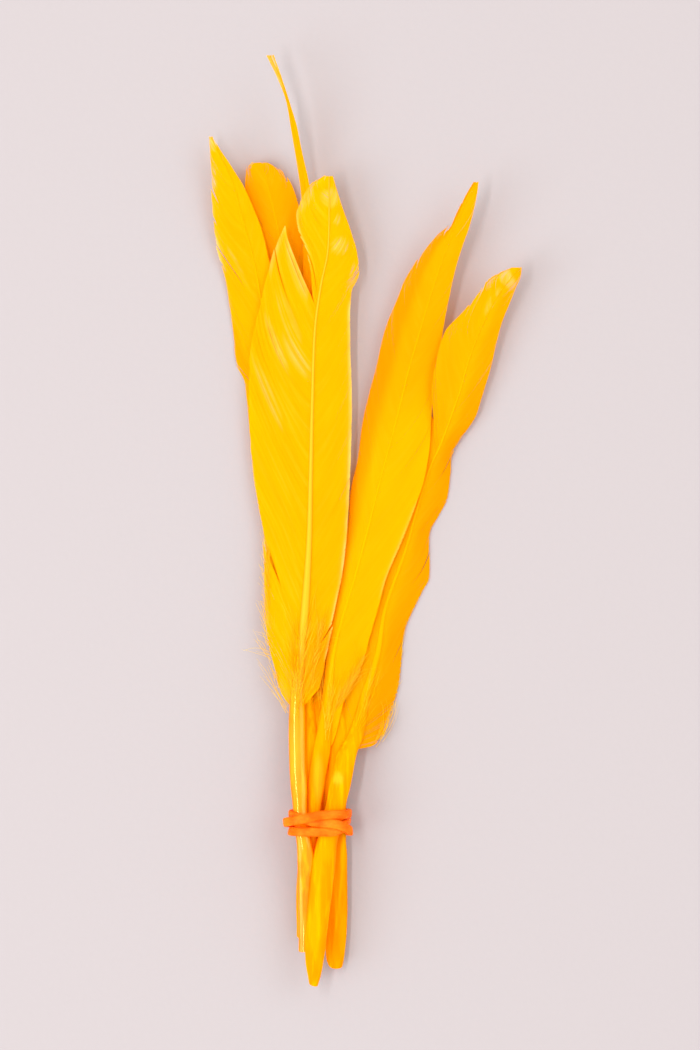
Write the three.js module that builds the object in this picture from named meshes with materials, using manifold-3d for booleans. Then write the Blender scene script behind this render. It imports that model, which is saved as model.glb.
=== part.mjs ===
// A bunch of six dyed goose quill feathers, tied round the quills with a rubber band and lying down.
// Millimetres. +Z is up and the bunch rests on z = 0, +Y runs from the cut quill ends to the tips,
// and the origin is under the middle of the whole bunch.

import * as THREE from 'three';
import { mergeVertices } from 'three/addons/utils/BufferGeometryUtils.js';
import Module from 'manifold-3d';

// ---- driving dimensions ----

const VANE_THICKNESS = 0.6;       // at the middle of a vane, barbs and barbules together
const EDGE_THICKNESS = 0.44;      // at the ends of the barbs
const RIDGE_ABOVE = 0.5;          // share of the shaft's radius that stands above the vane
const RIDGE_BELOW = 0.7;          // share of it that stands below
const CAMBER = 1.6;               // power of the curve from the shaft down to a vane's edge
const COLLAR_LENGTH = 6;          // over which the round quill opens into the vane
const LONGEST_STEP = 5;           // between two sections of a feather
const SHORTEST_STEP = 0.9;
const WIDEST_RIDGE = 0.4;         // the shaft's share of the vane's half width near the tip
const CUT_DEPTH = 20;             // of the torn gap, more than the feather's height

const BAND_WIDTH = 1.5;           // of the rubber strand
const BAND_THICKNESS = 0.9;
const BAND_GAP = 0.42;            // between the strand and the quills
const BAND_TURNS = 3;
const BAND_PITCH = 1.95;          // from one turn to the next along the quills
const BAND_CENTRE_Y = -57.4;
const BAND_REACH = 2.8;           // from the band's middle to its outer edges
const CROSSING_LENGTH = 12;       // stretch on top where the turns change places
const CROSSING_LIFT = 1.15;       // height of the strand that passes over the others
const CROSSING_RAMP = 0.25;       // share of the crossing where that strand rises, and where it sinks
const CROSSING_START = 0.22;      // share of the crossing where the turns begin to move over
const STRAND_CORNER = 0.45;       // how far along a side the strand's cut corners start
const BAND_STEPS_PER_TURN = 28;
const BEND_STEP = 3;              // degrees between two points of a bend round a quill

// Each feather: its shaft as [x, y, z, radius] from the cut end of the quill to the tip, and the two
// edges of its vane as [x, y, z] from the foot of the vane to the tip.

const FRONT_LEFT = {
  shaft: [
    [-11.5, -81.5, 4.3, 1.15], [-11.2, -75, 4.85, 1.2], [-11.3, -68.4, 6, 1.2],
    [-11.4, -63.6, 7.3, 1.2], [-11.9, -59.9, 7.5, 1.2], [-12.3, -57.4, 7.15, 1.2],
    [-12.6, -51.3, 6.4, 1.2], [-12.9, -45.6, 5.6, 1.2], [-13, -38, 5, 1.2],
    [-12.9, -32.3, 4.8, 1.1], [-12.1, -23.9, 4.8, 0.95], [-11.4, -15.8, 4.8, 0.85],
    [-10.7, -4, 4.7, 0.6], [-10.4, 8.9, 4.6, 0.45], [-10.1, 22.4, 4.8, 0.35],
    [-9.6, 36.1, 5.3, 0.28], [-8.5, 44.3, 5.8, 0.25], [-7.1, 51.5, 6.3, 0.2],
    [-6.9, 65.2, 7.4, 0.15],
  ],
  left: [
    [-14.2, -37, 4.9], [-15.5, -34.2, 4.5], [-17.2, -28.5, 4], [-18.5, -22.8, 3.5],
    [-19.1, -15.2, 2.9], [-19.3, -4.8, 2.4], [-21.4, 9.3, 2.2], [-22, 17.1, 2.3],
    [-22.1, 28.5, 2.5], [-21.6, 34.2, 2.7], [-19.7, 42.2, 3.3], [-18.1, 48.6, 3.9],
    [-15.3, 56, 4.9], [-13.4, 58, 5.9], [-12.1, 60, 6.4], [-10.4, 63.6, 7], [-7.7, 65.2, 7.3],
  ],
  right: [
    [-11.8, -37, 5], [-9, -32.3, 5], [-6.9, -22.8, 4.8], [-5.4, -15.2, 4.3],
    [-4.3, -9.5, 3.9], [-3.5, -1.9, 3.7], [-2.9, 9.5, 3.6], [-2.6, 22.8, 3.9], [-2.9, 33.4, 4.4],
    [-2.7, 43.3, 5.1], [-1.4, 46.2, 5.2], [-1.3, 48.6, 5.3], [-1.7, 51.3, 5.6], [-3.1, 55.7, 6.2],
    [-4.7, 60.2, 6.8], [-6.2, 65.2, 7.3],
  ],
};

// The gap torn in the front left feather, between its tip and the barbs that have come away.
const TORN_GAP = [
  [-16.6, 58.5], [-13.1, 58.5], [-13.1, 57.2], [-12.6, 54.5], [-11.2, 51.3], [-10.4, 48.1],
  [-9.9, 41.2], [-15.3, 56],
];

const FAR_LEFT = {
  shaft: [
    [-11.9, -60.8, 2.65, 1.15], [-11.4, -57.4, 2.7, 1.2], [-11.1, -53.2, 2.6, 1.2],
    [-10.7, -45.6, 2.25, 1.2], [-10.9, -38, 1.9, 1.15], [-11.5, -32.3, 1.8, 1.1],
    [-12.6, -19, 1.75, 0.9], [-14, -3.8, 1.75, 0.75], [-15.7, 13.3, 1.8, 0.6],
    [-17.8, 28.5, 1.9, 0.45], [-19.9, 42.2, 2.3, 0.35], [-21.2, 49, 2.8, 0.3],
    [-23.8, 58.9, 3.8, 0.25], [-25.4, 64.6, 4.3, 0.2], [-29.4, 72.8, 5.2, 0.15],
  ],
  left: [
    [-12.8, -30.4, 1.8], [-14.9, -24.7, 1.3], [-17.4, -15.2, 0.7], [-19.7, 0, 0.4],
    [-21.6, 12.3, 0.3], [-22.7, 23.8, 0.3], [-23.1, 26.6, 0.3], [-24.6, 30, 0.3],
    [-25.2, 35.9, 0.35], [-26.7, 45.8, 0.9], [-28.6, 53.8, 2.1], [-29.4, 67.3, 4.3],
    [-29.7, 72.8, 5.1],
  ],
  right: [
    [-10.4, -30.4, 2], [-10.9, -22.8, 2.8], [-11.3, -5.7, 3], [-11.9, 13.3, 2.9], [-13, 32.3, 2.9],
    [-15.3, 41.8, 2.85], [-18.1, 48.6, 3.05], [-19.9, 55.7, 3.7], [-23.1, 63.3, 4.3],
    [-25, 66.5, 4.5], [-27.3, 69.9, 4.9], [-29.1, 72.8, 5.2],
  ],
};

const BACK_BLUNT = {
  shaft: [
    [-8.6, -73.2, 2.1, 1], [-8.6, -66.5, 2.4, 1.1], [-8.8, -57.4, 2.6, 1.1],
    [-8.3, -49.4, 2.4, 1.1], [-8.1, -41.8, 2.1, 1.1], [-8.5, -34.2, 1.85, 1.05],
    [-9, -24.7, 1.65, 0.95], [-10.2, -7.6, 1.4, 0.75], [-11.5, 13.3, 1.3, 0.6],
    [-13.2, 32.3, 1.3, 0.45], [-14.7, 43.7, 1.5, 0.35], [-16.6, 55.1, 2, 0.3],
    [-19.7, 68, 2.8, 0.2],
  ],
  left: [
    [-10, -30.4, 1.8], [-10.7, -24.7, 1.5], [-12.1, -5.7, 1.2], [-14, 13.3, 0.8],
    [-17.2, 26.6, 0.5], [-20.4, 36.1, 0.5], [-22.3, 45.6, 0.7], [-23.1, 57, 1.4], [-22.9, 63.3, 2],
    [-22.3, 67.5, 2.6], [-21.4, 68, 2.7],
  ],
  right: [
    [-7.5, -30.4, 1.7], [-8.3, -24.7, 1.5], [-9.2, -5.7, 1.1], [-10.5, 13.3, 1], [-11.1, 26.6, 0.9],
    [-10.4, 34.2, 0.8], [-10.2, 41.2, 0.9], [-11.1, 49.4, 1.2], [-12.8, 60.2, 1.9],
    [-14.1, 63.9, 2.2], [-15.8, 66.2, 2.5], [-17.2, 67.3, 2.7], [-18.6, 68, 2.8],
  ],
};

const BACK_CURLED = {
  shaft: [
    [-5.7, -84.7, 2.05, 1.3], [-5.7, -83.5, 2.05, 1.6], [-5.6, -77.9, 2.1, 1.75],
    [-5.5, -66.5, 2.6, 1.7],
    [-5.4, -57.4, 3.1, 1.6], [-5.4, -53.2, 2.85, 1.5], [-5, -45.6, 2.55, 1.45],
    [-5.2, -38, 2.2, 1.35], [-5.8, -32.3, 2.1, 1.2], [-6.6, -24.7, 2, 1], [-7.5, -7.6, 1.8, 0.8],
    [-8.3, 9.5, 1.7, 0.65], [-9.2, 26.6, 2, 0.5], [-10, 41.8, 2.9, 0.4], [-10.7, 53.2, 3.6, 0.33],
    [-11.5, 62.7, 4.4, 0.3], [-12.4, 69.3, 5.4, 0.25], [-13.7, 74.9, 6.2, 0.22],
    [-14.7, 79.6, 7, 0.2], [-16.2, 84, 7.8, 0.18], [-18.1, 88, 8.6, 0.15],
  ],
  left: [
    [-7.5, -28.5, 2.1], [-7.7, -22.8, 1.5], [-8.6, -7.6, 1.1], [-9.9, 9.5, 1.1], [-10.7, 22.8, 1.6],
    [-11.3, 34.2, 2.2], [-11.7, 41.8, 2.4], [-12, 58, 2.8], [-12.3, 62.5, 3.4],
    [-13.3, 69.3, 4], [-14.2, 74.5, 4.9], [-15.1, 79.6, 6.2], [-16.8, 84, 7], [-18.8, 88, 7.8],
  ],
  right: [
    [-4.8, -28.5, 2], [-4.7, -22.8, 1.4], [-4.8, -7.6, 0.9], [-5.2, 9.5, 0.8], [-6, 22.8, 1],
    [-6.7, 34.2, 1.8], [-7.5, 41.8, 2.7], [-8.6, 49.4, 3.6], [-10.2, 58, 4.6], [-10.5, 62.7, 5.3],
    [-12.1, 70.1, 7.4], [-13, 74.5, 8.2], [-14.3, 78.8, 8.6], [-15.5, 82.5, 9], [-17.4, 88, 9.4],
  ],
};

const FRONT_RIGHT = {
  shaft: [
    [-11.9, -79.2, 1.5, 1.1], [-11.7, -73.2, 1.9, 1.15], [-11.4, -67.5, 3.2, 1.2],
    [-10.9, -63.6, 4.4, 1.2], [-10.6, -60.8, 5.05, 1.2], [-10.2, -57.4, 5.15, 1.2],
    [-9.8, -54.7, 5.15, 1.2], [-9.3, -49.4, 5.1, 1.22], [-8.8, -46.5, 5.1, 1.32],
    [-8, -42, 5.05, 1.42], [-7.3, -36.5, 4.85, 1.3], [-6.7, -30.8, 4.5, 1.05], [-6, -24.9, 4.2, 0.85],
    [-4.3, -18.2, 3.9, 0.75], [-2.2, -11.4, 3.9, 0.7], [0.5, -1.5, 3.9, 0.6], [2.8, 7.6, 4, 0.5],
    [6, 19.6, 4.4, 0.4], [8.1, 28.1, 4.9, 0.33], [10.4, 36.1, 5.4, 0.3], [12.8, 44.1, 6, 0.27],
    [15.3, 51.3, 6.8, 0.23], [18, 58, 7.6, 0.2], [21, 64, 8.5, 0.15],
  ],
  left: [
    [-8.3, -35.1, 4.7], [-7.6, -28.5, 4.1], [-7.3, -24.7, 3.7], [-6.6, -18.4, 3.2],
    [-5.6, -13.3, 2.9], [-4.7, -7.4, 2.6], [-3.3, -0.6, 2.2], [-2.8, 5.7, 1.9],
    [-1.6, 11, 1.8], [-0.5, 18.8, 1.9], [0.7, 24.1, 2.1], [1.9, 28.5, 2.4], [3.7, 36.1, 3.1],
    [5.8, 41.4, 3.6], [7.7, 46, 4.3], [10.7, 50.5, 5.3], [13.6, 54, 6.1], [15.9, 55.9, 6.6],
    [18.1, 60, 7.4], [19.5, 62.5, 7.9], [20.4, 64, 8.4],
  ],
  right: [
    [-5.2, -35.1, 4.7], [-3.7, -33.2, 4.5], [-2, -30.4, 4.2], [-0.4, -26.6, 3.9], [0.9, -21.9, 3.8],
    [2.2, -17.5, 3.8], [4.1, -10.6, 3.7], [7.5, -2.5, 3.8], [10.9, 6.8, 3.9], [12, 12.4, 3.9],
    [12.4, 17.1, 3.9], [13.1, 28.5, 4.2], [14.2, 33.1, 4.7], [15.5, 40.3, 5.4],
    [17.4, 48.8, 6.4], [19.7, 55.7, 7.4], [21, 61, 8.2], [21.4, 64, 8.5],
  ],
};

const FAR_RIGHT = {
  shaft: [
    [-9.9, -88, 6.8, 0.8], [-9.8, -86.3, 6.85, 1.15], [-9.7, -84.5, 6.9, 1.4],
    [-9.3, -77.9, 7.35, 1.75], [-8.7, -72.2, 7.45, 1.8], [-8, -66.5, 7.25, 1.8], [-7.4, -61.4, 6.9, 1.8],
    [-6.4, -57.4, 6.75, 1.75], [-5.5, -53.2, 6.4, 1.7], [-4.6, -49, 6.05, 1.65],
    [-3.5, -44.3, 5.5, 1.6], [-2, -41, 4.7, 1.5], [-0.7, -36.1, 3.9, 1.3], [0.1, -32.7, 3.5, 1.2],
    [2.4, -24.9, 2.9, 1], [3.7, -16.9, 2.5, 0.85], [7.5, -5.9, 2.4, 0.7], [11.1, 6.8, 2.6, 0.55],
    [12.6, 10.8, 2.9, 0.52], [14, 13.7, 3.3, 0.5], [15.7, 18.1, 4, 0.45], [18, 24.7, 4.6, 0.4],
    [19.5, 30, 5, 0.35], [21.8, 36.1, 5.6, 0.3], [25.2, 42.6, 6.4, 0.25], [29.2, 47.9, 7.2, 0.15],
  ],
  left: [
    [-4.9, -43.9, 5.3], [-4.2, -39, 4], [-4, -34.2, 3.1], [-3.4, -28.5, 2.5], [-2.4, -22.8, 2.1],
    [-0.2, -15.2, 1.9], [2.5, -5.7, 1.9], [5.6, 0.8, 2.1], [9.4, 7.6, 2.3], [11.5, 11.4, 2.6],
    [13.6, 13.9, 3.4], [13, 15, 4.3], [12.3, 16, 5.1], [12.4, 23.8, 5.7], [13.1, 28.7, 6],
    [15.1, 35.7, 6.3], [18.7, 39.7, 6.4], [21.9, 43.5, 6.6], [23.1, 45.4, 6.6],
    [25, 46.7, 6.8], [27.8, 47.9, 7.1],
  ],
  right: [
    [-2, -43.9, 5.3], [1.3, -42.9, 3.6], [2.6, -41.6, 2.5], [3.6, -39.2, 1.7], [4.7, -36.3, 1],
    [5.8, -33.4, 0.6],
    [6.6, -29.1, 0.4], [7.1, -23.2, 0.35], [7.8, -20.1, 0.35], [10.7, -13.9, 0.35],
    [12.1, -11, 0.3], [12.3, -2.5, 0.3], [14.3, 1.5, 0.3], [15.5, 4, 0.3], [16.2, 9.1, 0.45],
    [16.4, 11.8, 0.7], [17.8, 15, 1.3], [19.9, 17.9, 1.9], [21.1, 19.9, 2.2], [22.1, 23.2, 2.7],
    [23.7, 28.5, 3.5], [25.7, 36.7, 4.9], [28.4, 43.7, 6.4], [29.4, 46.2, 7], [29.6, 47.9, 7.2],
  ],
};

// ---- shapes ----

// The point of a [x, y, z, ...] list at height y, by a smooth curve through the list in order of y.
function pointAt(list, y) {
  const last = list.length - 1;
  if (y <= list[0][1]) return list[0];
  if (y >= list[last][1]) return list[last];
  let i = 0;
  while (list[i + 1][1] < y) i += 1;
  const slope = (j, k) => {
    const a = list[Math.max(j - 1, 0)];
    const b = list[Math.min(j + 1, last)];
    return (b[k] - a[k]) / (b[1] - a[1]);
  };
  const step = list[i + 1][1] - list[i][1];
  const t = (y - list[i][1]) / step;
  const fromHere = 2 * t ** 3 - 3 * t ** 2 + 1;
  const slopeHere = step * (t ** 3 - 2 * t ** 2 + t);
  const slopeThere = step * (t ** 3 - t ** 2);
  return list[i].map((value, k) => fromHere * value + slopeHere * slope(i, k)
    + (1 - fromHere) * list[i + 1][k] + slopeThere * slope(i + 1, k));
}

// Where along y a feather is cut into sections: at each point of its edges, and between them wherever
// two would be further apart than LONGEST_STEP.
function sectionPlaces(feather) {
  const foot = feather.left[0][1];
  const fixed = [
    feather.shaft[0][1],
    ...feather.shaft.filter((p) => p[1] < foot).map((p) => p[1]),
    ...feather.left.map((p) => p[1]),
    ...feather.right.map((p) => p[1]),
    foot + COLLAR_LENGTH / 2,
  ];
  const sorted = [...new Set(fixed)].sort((a, b) => a - b);
  const places = [sorted[0]];
  for (const y of sorted.slice(1)) {
    const from = places[places.length - 1];
    if (y - from < SHORTEST_STEP && y !== sorted[sorted.length - 1]) continue;
    const parts = Math.ceil((y - from) / LONGEST_STEP);
    for (let k = 1; k <= parts; k += 1) {
      places.push(from + ((y - from) * k) / parts);
    }
  }
  return places;
}

// One section's outline: a round quill below the vane, and above it a thin cambered sheet with the
// shaft as a ridge along its middle. [share of the vane's half width, or 'shaft' at the foot of the ridge;
// upper or lower side of the sheet; angle round the quill in degrees; side of the ridge].
const OUTLINE = [
  [-1, 1, 165], [-0.5, 1, 140], ['shaft', 1, 115, -1], [0, 1, 90], ['shaft', 1, 65, 1], [0.5, 1, 40],
  [1, 1, 15], [1, -1, -15], [0.5, -1, -40], ['shaft', -1, -65, 1], [0, -1, -90],
  ['shaft', -1, -115, -1], [-0.5, -1, -140], [-1, -1, -165],
];

function section(feather, y) {
  const [x, , z, radius] = pointAt(feather.shaft, y);
  const left = pointAt(feather.left, y);
  const right = pointAt(feather.right, y);
  const foot = feather.left[0][1];
  const open = THREE.MathUtils.smoothstep(y, foot, foot + COLLAR_LENGTH);
  const across = new THREE.Vector2(right[0] - left[0], right[2] - left[2]).normalize();
  return OUTLINE.map(([share, side, degrees, shaftSide]) => {
    const angle = THREE.MathUtils.degToRad(degrees);
    const round = new THREE.Vector3(x + radius * Math.cos(angle), y, z + radius * Math.sin(angle));
    if (open === 0) return round;
    const lobe = share === 'shaft' ? shaftSide : share;
    const edge = lobe < 0 ? left : right;
    const halfWidth = Math.hypot(edge[0] - x, edge[2] - z);
    const ridgeFoot = Math.min(radius / Math.max(halfWidth, radius), WIDEST_RIDGE);
    const out = share === 'shaft' ? ridgeFoot : Math.abs(share);
    const thickness = THREE.MathUtils.lerp(VANE_THICKNESS, EDGE_THICKNESS, out) / 2;
    const ridge = share === 0 ? radius * (side > 0 ? RIDGE_ABOVE : RIDGE_BELOW) : 0;
    const away = side * (thickness + ridge);
    const flat = new THREE.Vector3(
      x + (edge[0] - x) * out - across.y * away,
      y,
      z + (edge[2] - z) * out ** CAMBER + across.x * away,
    );
    return round.lerp(flat, open);
  });
}

// A closed body through a row of outlines with equal numbers of points, with a flat cap at each end.
function closedLoft(rings) {
  const points = rings.flat();
  const size = rings[0].length;
  const triangles = [];
  for (let i = 0; i < rings.length - 1; i += 1) {
    for (let k = 0; k < size; k += 1) {
      const a = i * size + k;
      const b = i * size + ((k + 1) % size);
      triangles.push(a, b, a + size, b, b + size, a + size);
    }
  }
  for (const [start, turn] of [[0, 1], [(rings.length - 1) * size, -1]]) {
    const middle = new THREE.Vector3();
    for (let k = 0; k < size; k += 1) middle.addScaledVector(points[start + k], 1 / size);
    points.push(middle);
    for (let k = 0; k < size; k += 1) {
      const a = start + k;
      const b = start + ((k + 1) % size);
      triangles.push(points.length - 1, turn > 0 ? b : a, turn > 0 ? a : b);
    }
  }
  return new THREE.BufferGeometry().setFromPoints(points).setIndex(triangles);
}

function featherGeometry(feather) {
  return closedLoft(sectionPlaces(feather).map((y) => section(feather, y)));
}

// ---- the torn gap, cut out of the front left feather ----

const SAME_POINT = 1e-4;

const wasm = await Module();
wasm.setup();

function toSolid(geometry) {
  const bare = new THREE.BufferGeometry().setAttribute('position', geometry.getAttribute('position'));
  if (geometry.index) bare.setIndex(geometry.index);
  const merged = mergeVertices(bare, SAME_POINT);
  return new wasm.Manifold(new wasm.Mesh({
    numProp: 3,
    vertProperties: new Float32Array(merged.attributes.position.array),
    triVerts: new Uint32Array(merged.index.array),
  }));
}

function fromSolid(solid) {
  const mesh = solid.getMesh();
  const geometry = new THREE.BufferGeometry();
  geometry.setAttribute('position', new THREE.BufferAttribute(mesh.vertProperties, 3));
  return geometry.setIndex(new THREE.BufferAttribute(mesh.triVerts, 1));
}

function cutThrough(geometry, outline) {
  const shape = new THREE.Shape(outline.map(([x, y]) => new THREE.Vector2(x, y)));
  const wedge = new THREE.ExtrudeGeometry(shape, { depth: CUT_DEPTH, bevelEnabled: false });
  return fromSolid(toSolid(geometry).subtract(toSolid(wedge)));
}

// ---- the rubber band ----

// The line round the quills that a stretched band takes: straight between the outer quills and bent
// round each of them. Points [x, z] at even steps, and the direction out of the bunch at each.
function bandLine(quills, clearance, steps) {
  const corners = [];
  for (let degrees = 0; degrees < 360; degrees += BEND_STEP) {
    const angle = THREE.MathUtils.degToRad(degrees);
    const out = new THREE.Vector2(Math.cos(angle), Math.sin(angle));
    const reach = quills.map(([x, , z, radius]) => x * out.x + z * out.y + radius);
    const [x, , z, radius] = quills[reach.indexOf(Math.max(...reach))];
    corners.push({ at: new THREE.Vector2(x, z).addScaledVector(out, radius + clearance), out });
  }
  corners.push(corners[0]);
  const along = [0];
  for (let i = 1; i < corners.length; i += 1) {
    along.push(along[i - 1] + corners[i].at.distanceTo(corners[i - 1].at));
  }
  const length = along[along.length - 1];
  const line = [];
  for (let s = 0; s < steps; s += 1) {
    const distance = (length * s) / steps;
    let i = 0;
    while (along[i + 1] < distance) i += 1;
    const t = (distance - along[i]) / (along[i + 1] - along[i] || 1);
    line.push({
      at: corners[i].at.clone().lerp(corners[i + 1].at, t),
      out: corners[i].out.clone().lerp(corners[i + 1].out, t).normalize(),
    });
  }
  return { line, length };
}

// Where the turns change places: 0 before the crossing and 1 after it, and the lift of the strand on top.
function crossing(distance, top) {
  const from = distance - top;
  const t = THREE.MathUtils.clamp(from / CROSSING_LENGTH + 0.5, 0, 1);
  const { smoothstep } = THREE.MathUtils;
  return {
    moved: smoothstep(t, CROSSING_START, 1 - CROSSING_START),
    lifted: smoothstep(t, 0, CROSSING_RAMP) * smoothstep(1 - t, 0, CROSSING_RAMP),
  };
}

// The strand's section, a rectangle with its corners cut, as shares of half its width and thickness.
const STRAND_OUTLINE = [
  [1, STRAND_CORNER], [STRAND_CORNER, 1], [-STRAND_CORNER, 1], [-1, STRAND_CORNER],
  [-1, -STRAND_CORNER], [-STRAND_CORNER, -1], [STRAND_CORNER, -1], [1, -STRAND_CORNER],
];

function bandGeometry(quills) {
  const steps = BAND_STEPS_PER_TURN;
  const { line, length } = bandLine(quills, BAND_GAP + BAND_THICKNESS / 2, steps);
  const top = line.reduce((best, p, i) => (p.out.y > line[best].out.y ? i : best), 0);
  // each turn starts opposite the crossing
  const start = (top + steps / 2) % steps;
  const centres = [];
  for (let turn = 0; turn < BAND_TURNS; turn += 1) {
    for (let s = 0; s < steps; s += 1) {
      const { at, out } = line[(start + s) % steps];
      const { moved, lifted } = crossing((s / steps) * length, length / 2);
      const last = turn === BAND_TURNS - 1;
      const place = turn - (BAND_TURNS - 1) / 2 + moved * (last ? 1 - BAND_TURNS : 1);
      const lift = last ? lifted * CROSSING_LIFT : 0;
      const y = BAND_CENTRE_Y - place * BAND_PITCH;
      centres.push({
        at: new THREE.Vector3(at.x + out.x * lift, y, at.y + out.y * lift),
        out: new THREE.Vector3(out.x, 0, out.y),
      });
    }
  }
  const points = [];
  centres.forEach(({ at, out }, i) => {
    const next = centres[(i + 1) % centres.length].at;
    const before = centres[(i + centres.length - 1) % centres.length].at;
    const forward = next.clone().sub(before).normalize();
    const side = new THREE.Vector3().crossVectors(out, forward).normalize();
    for (const [wide, thick] of STRAND_OUTLINE) {
      points.push(at.clone().addScaledVector(side, (wide * BAND_WIDTH) / 2)
        .addScaledVector(out, (thick * BAND_THICKNESS) / 2));
    }
  });
  const size = STRAND_OUTLINE.length;
  const triangles = [];
  for (let i = 0; i < centres.length; i += 1) {
    const j = (i + 1) % centres.length;
    for (let k = 0; k < size; k += 1) {
      const m = (k + 1) % size;
      triangles.push(i * size + k, i * size + m, j * size + k, i * size + m, j * size + m, j * size + k);
    }
  }
  return new THREE.BufferGeometry().setFromPoints(points).setIndex(triangles);
}

// ---- the bunch ----

const FEATHERS = {
  feather_front_left: { shape: FRONT_LEFT, colour: 0xffcf0a },
  feather_far_left: { shape: FAR_LEFT, colour: 0xffc808 },
  feather_back_blunt: { shape: BACK_BLUNT, colour: 0xffa800 },
  feather_back_curled: { shape: BACK_CURLED, colour: 0xffb000 },
  feather_front_right: { shape: FRONT_RIGHT, colour: 0xffc400 },
  feather_far_right: { shape: FAR_RIGHT, colour: 0xffb200 },
};

function meshOf(name, geometry, material) {
  const mesh = new THREE.Mesh(geometry, new THREE.MeshStandardMaterial(material));
  mesh.name = name;
  return mesh;
}

const bunch = new THREE.Group();

for (const [name, { shape, colour }] of Object.entries(FEATHERS)) {
  const whole = featherGeometry(shape);
  const geometry = shape === FRONT_LEFT ? cutThrough(whole, TORN_GAP) : whole;
  bunch.add(meshOf(name, geometry, { color: colour, roughness: 0.6, metalness: 0 }));
}

const underBand = [BAND_CENTRE_Y - BAND_REACH, BAND_CENTRE_Y, BAND_CENTRE_Y + BAND_REACH];
const quillsAtBand = Object.values(FEATHERS).flatMap(
  ({ shape }) => underBand.map((y) => pointAt(shape.shaft, y)),
);
const band = bandGeometry(quillsAtBand);
bunch.add(meshOf('rubber_band', band, { color: 0xff8c28, roughness: 0.55, metalness: 0 }));

export default bunch;
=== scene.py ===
"""The looks of a bunch of six dyed goose quill feathers, tied with a rubber band and lying down.

Every vane is made of its barbs, every shaft is a tube that runs from the cut quill to the tip, and the
down and loose barbs are fibres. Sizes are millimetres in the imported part's own frame, where +Z is up and
+Y runs from the quills to the tips, and each mesh is turned into metres when it is made.
"""

import math

import bpy
import numpy as np
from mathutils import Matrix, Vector


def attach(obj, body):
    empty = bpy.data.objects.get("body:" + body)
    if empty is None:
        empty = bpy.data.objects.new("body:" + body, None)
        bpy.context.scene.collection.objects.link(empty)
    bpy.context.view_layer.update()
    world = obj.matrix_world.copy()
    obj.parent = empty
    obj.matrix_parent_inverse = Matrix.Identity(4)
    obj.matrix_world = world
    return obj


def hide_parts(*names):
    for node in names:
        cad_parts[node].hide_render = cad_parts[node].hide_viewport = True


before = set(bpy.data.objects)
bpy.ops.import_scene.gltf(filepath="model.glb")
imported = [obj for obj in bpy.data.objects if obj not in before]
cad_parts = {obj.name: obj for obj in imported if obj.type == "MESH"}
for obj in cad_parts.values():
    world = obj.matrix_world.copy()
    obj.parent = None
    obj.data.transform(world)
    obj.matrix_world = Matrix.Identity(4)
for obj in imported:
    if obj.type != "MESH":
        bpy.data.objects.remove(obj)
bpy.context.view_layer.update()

MM = 0.001

# ---- the feathers ----
# A shaft is [x, y, z, radius] from the cut end to the tip. The vane's two edges are [x, y, z] from its
# foot to its tip.

FRONT_LEFT = {"shaft": [
    (-11.5, -81.5, 4.3, 1.15), (-11.2, -75, 4.85, 1.2), (-11.3, -68.4, 6, 1.2), (-11.4, -63.6, 7.3, 1.2),
    (-11.9, -59.9, 7.5, 1.2), (-12.3, -57.4, 7.15, 1.2), (-12.6, -51.3, 6.4, 1.2),
    (-12.9, -45.6, 5.6, 1.2), (-13, -38, 5, 1.2), (-12.9, -32.3, 4.8, 1.1), (-12.1, -23.9, 4.8, 0.95),
    (-11.4, -15.8, 4.8, 0.85), (-10.7, -4, 4.7, 0.6), (-10.4, 8.9, 4.6, 0.45), (-10.1, 22.4, 4.8, 0.35),
    (-9.6, 36.1, 5.3, 0.28), (-8.5, 44.3, 5.8, 0.25), (-7.1, 51.5, 6.3, 0.2), (-6.9, 65.2, 7.4, 0.15),
], "left": [
    (-14.2, -37, 4.9), (-15.5, -34.2, 4.5), (-17.2, -28.5, 4), (-18.5, -22.8, 3.5), (-19.1, -15.2, 2.9),
    (-19.3, -4.8, 2.4), (-21.4, 9.3, 2.2), (-22, 17.1, 2.3), (-22.1, 28.5, 2.5), (-21.6, 34.2, 2.7),
    (-19.7, 42.2, 3.3), (-18.1, 48.6, 3.9), (-15.3, 56, 4.9), (-13.4, 58, 5.9), (-12.1, 60, 6.4),
    (-10.4, 63.6, 7), (-7.7, 65.2, 7.3),
], "right": [
    (-11.8, -37, 5), (-9, -32.3, 5), (-6.9, -22.8, 4.8), (-5.4, -15.2, 4.3), (-4.3, -9.5, 3.9),
    (-3.5, -1.9, 3.7), (-2.9, 9.5, 3.6), (-2.6, 22.8, 3.9), (-2.9, 33.4, 4.4), (-2.7, 43.3, 5.1),
    (-1.4, 46.2, 5.2), (-1.3, 48.6, 5.3), (-1.7, 51.3, 5.6), (-3.1, 55.7, 6.2), (-4.7, 60.2, 6.8),
    (-6.2, 65.2, 7.3),
]}

# The left edge of the front left feather's tip, above the gap torn in it.
TORN_TIP_EDGE = [
    (-9.9, 41.2, 5.5), (-10.1, 44.5, 5.6), (-10.4, 48.1, 5.7), (-11.2, 51.3, 5.6), (-12.6, 54.5, 5.6),
    (-13.1, 57.2, 5.8), (-12.9, 59, 6.1), (-12.1, 60.8, 6.4),
] + FRONT_LEFT["left"][-2:]

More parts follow.
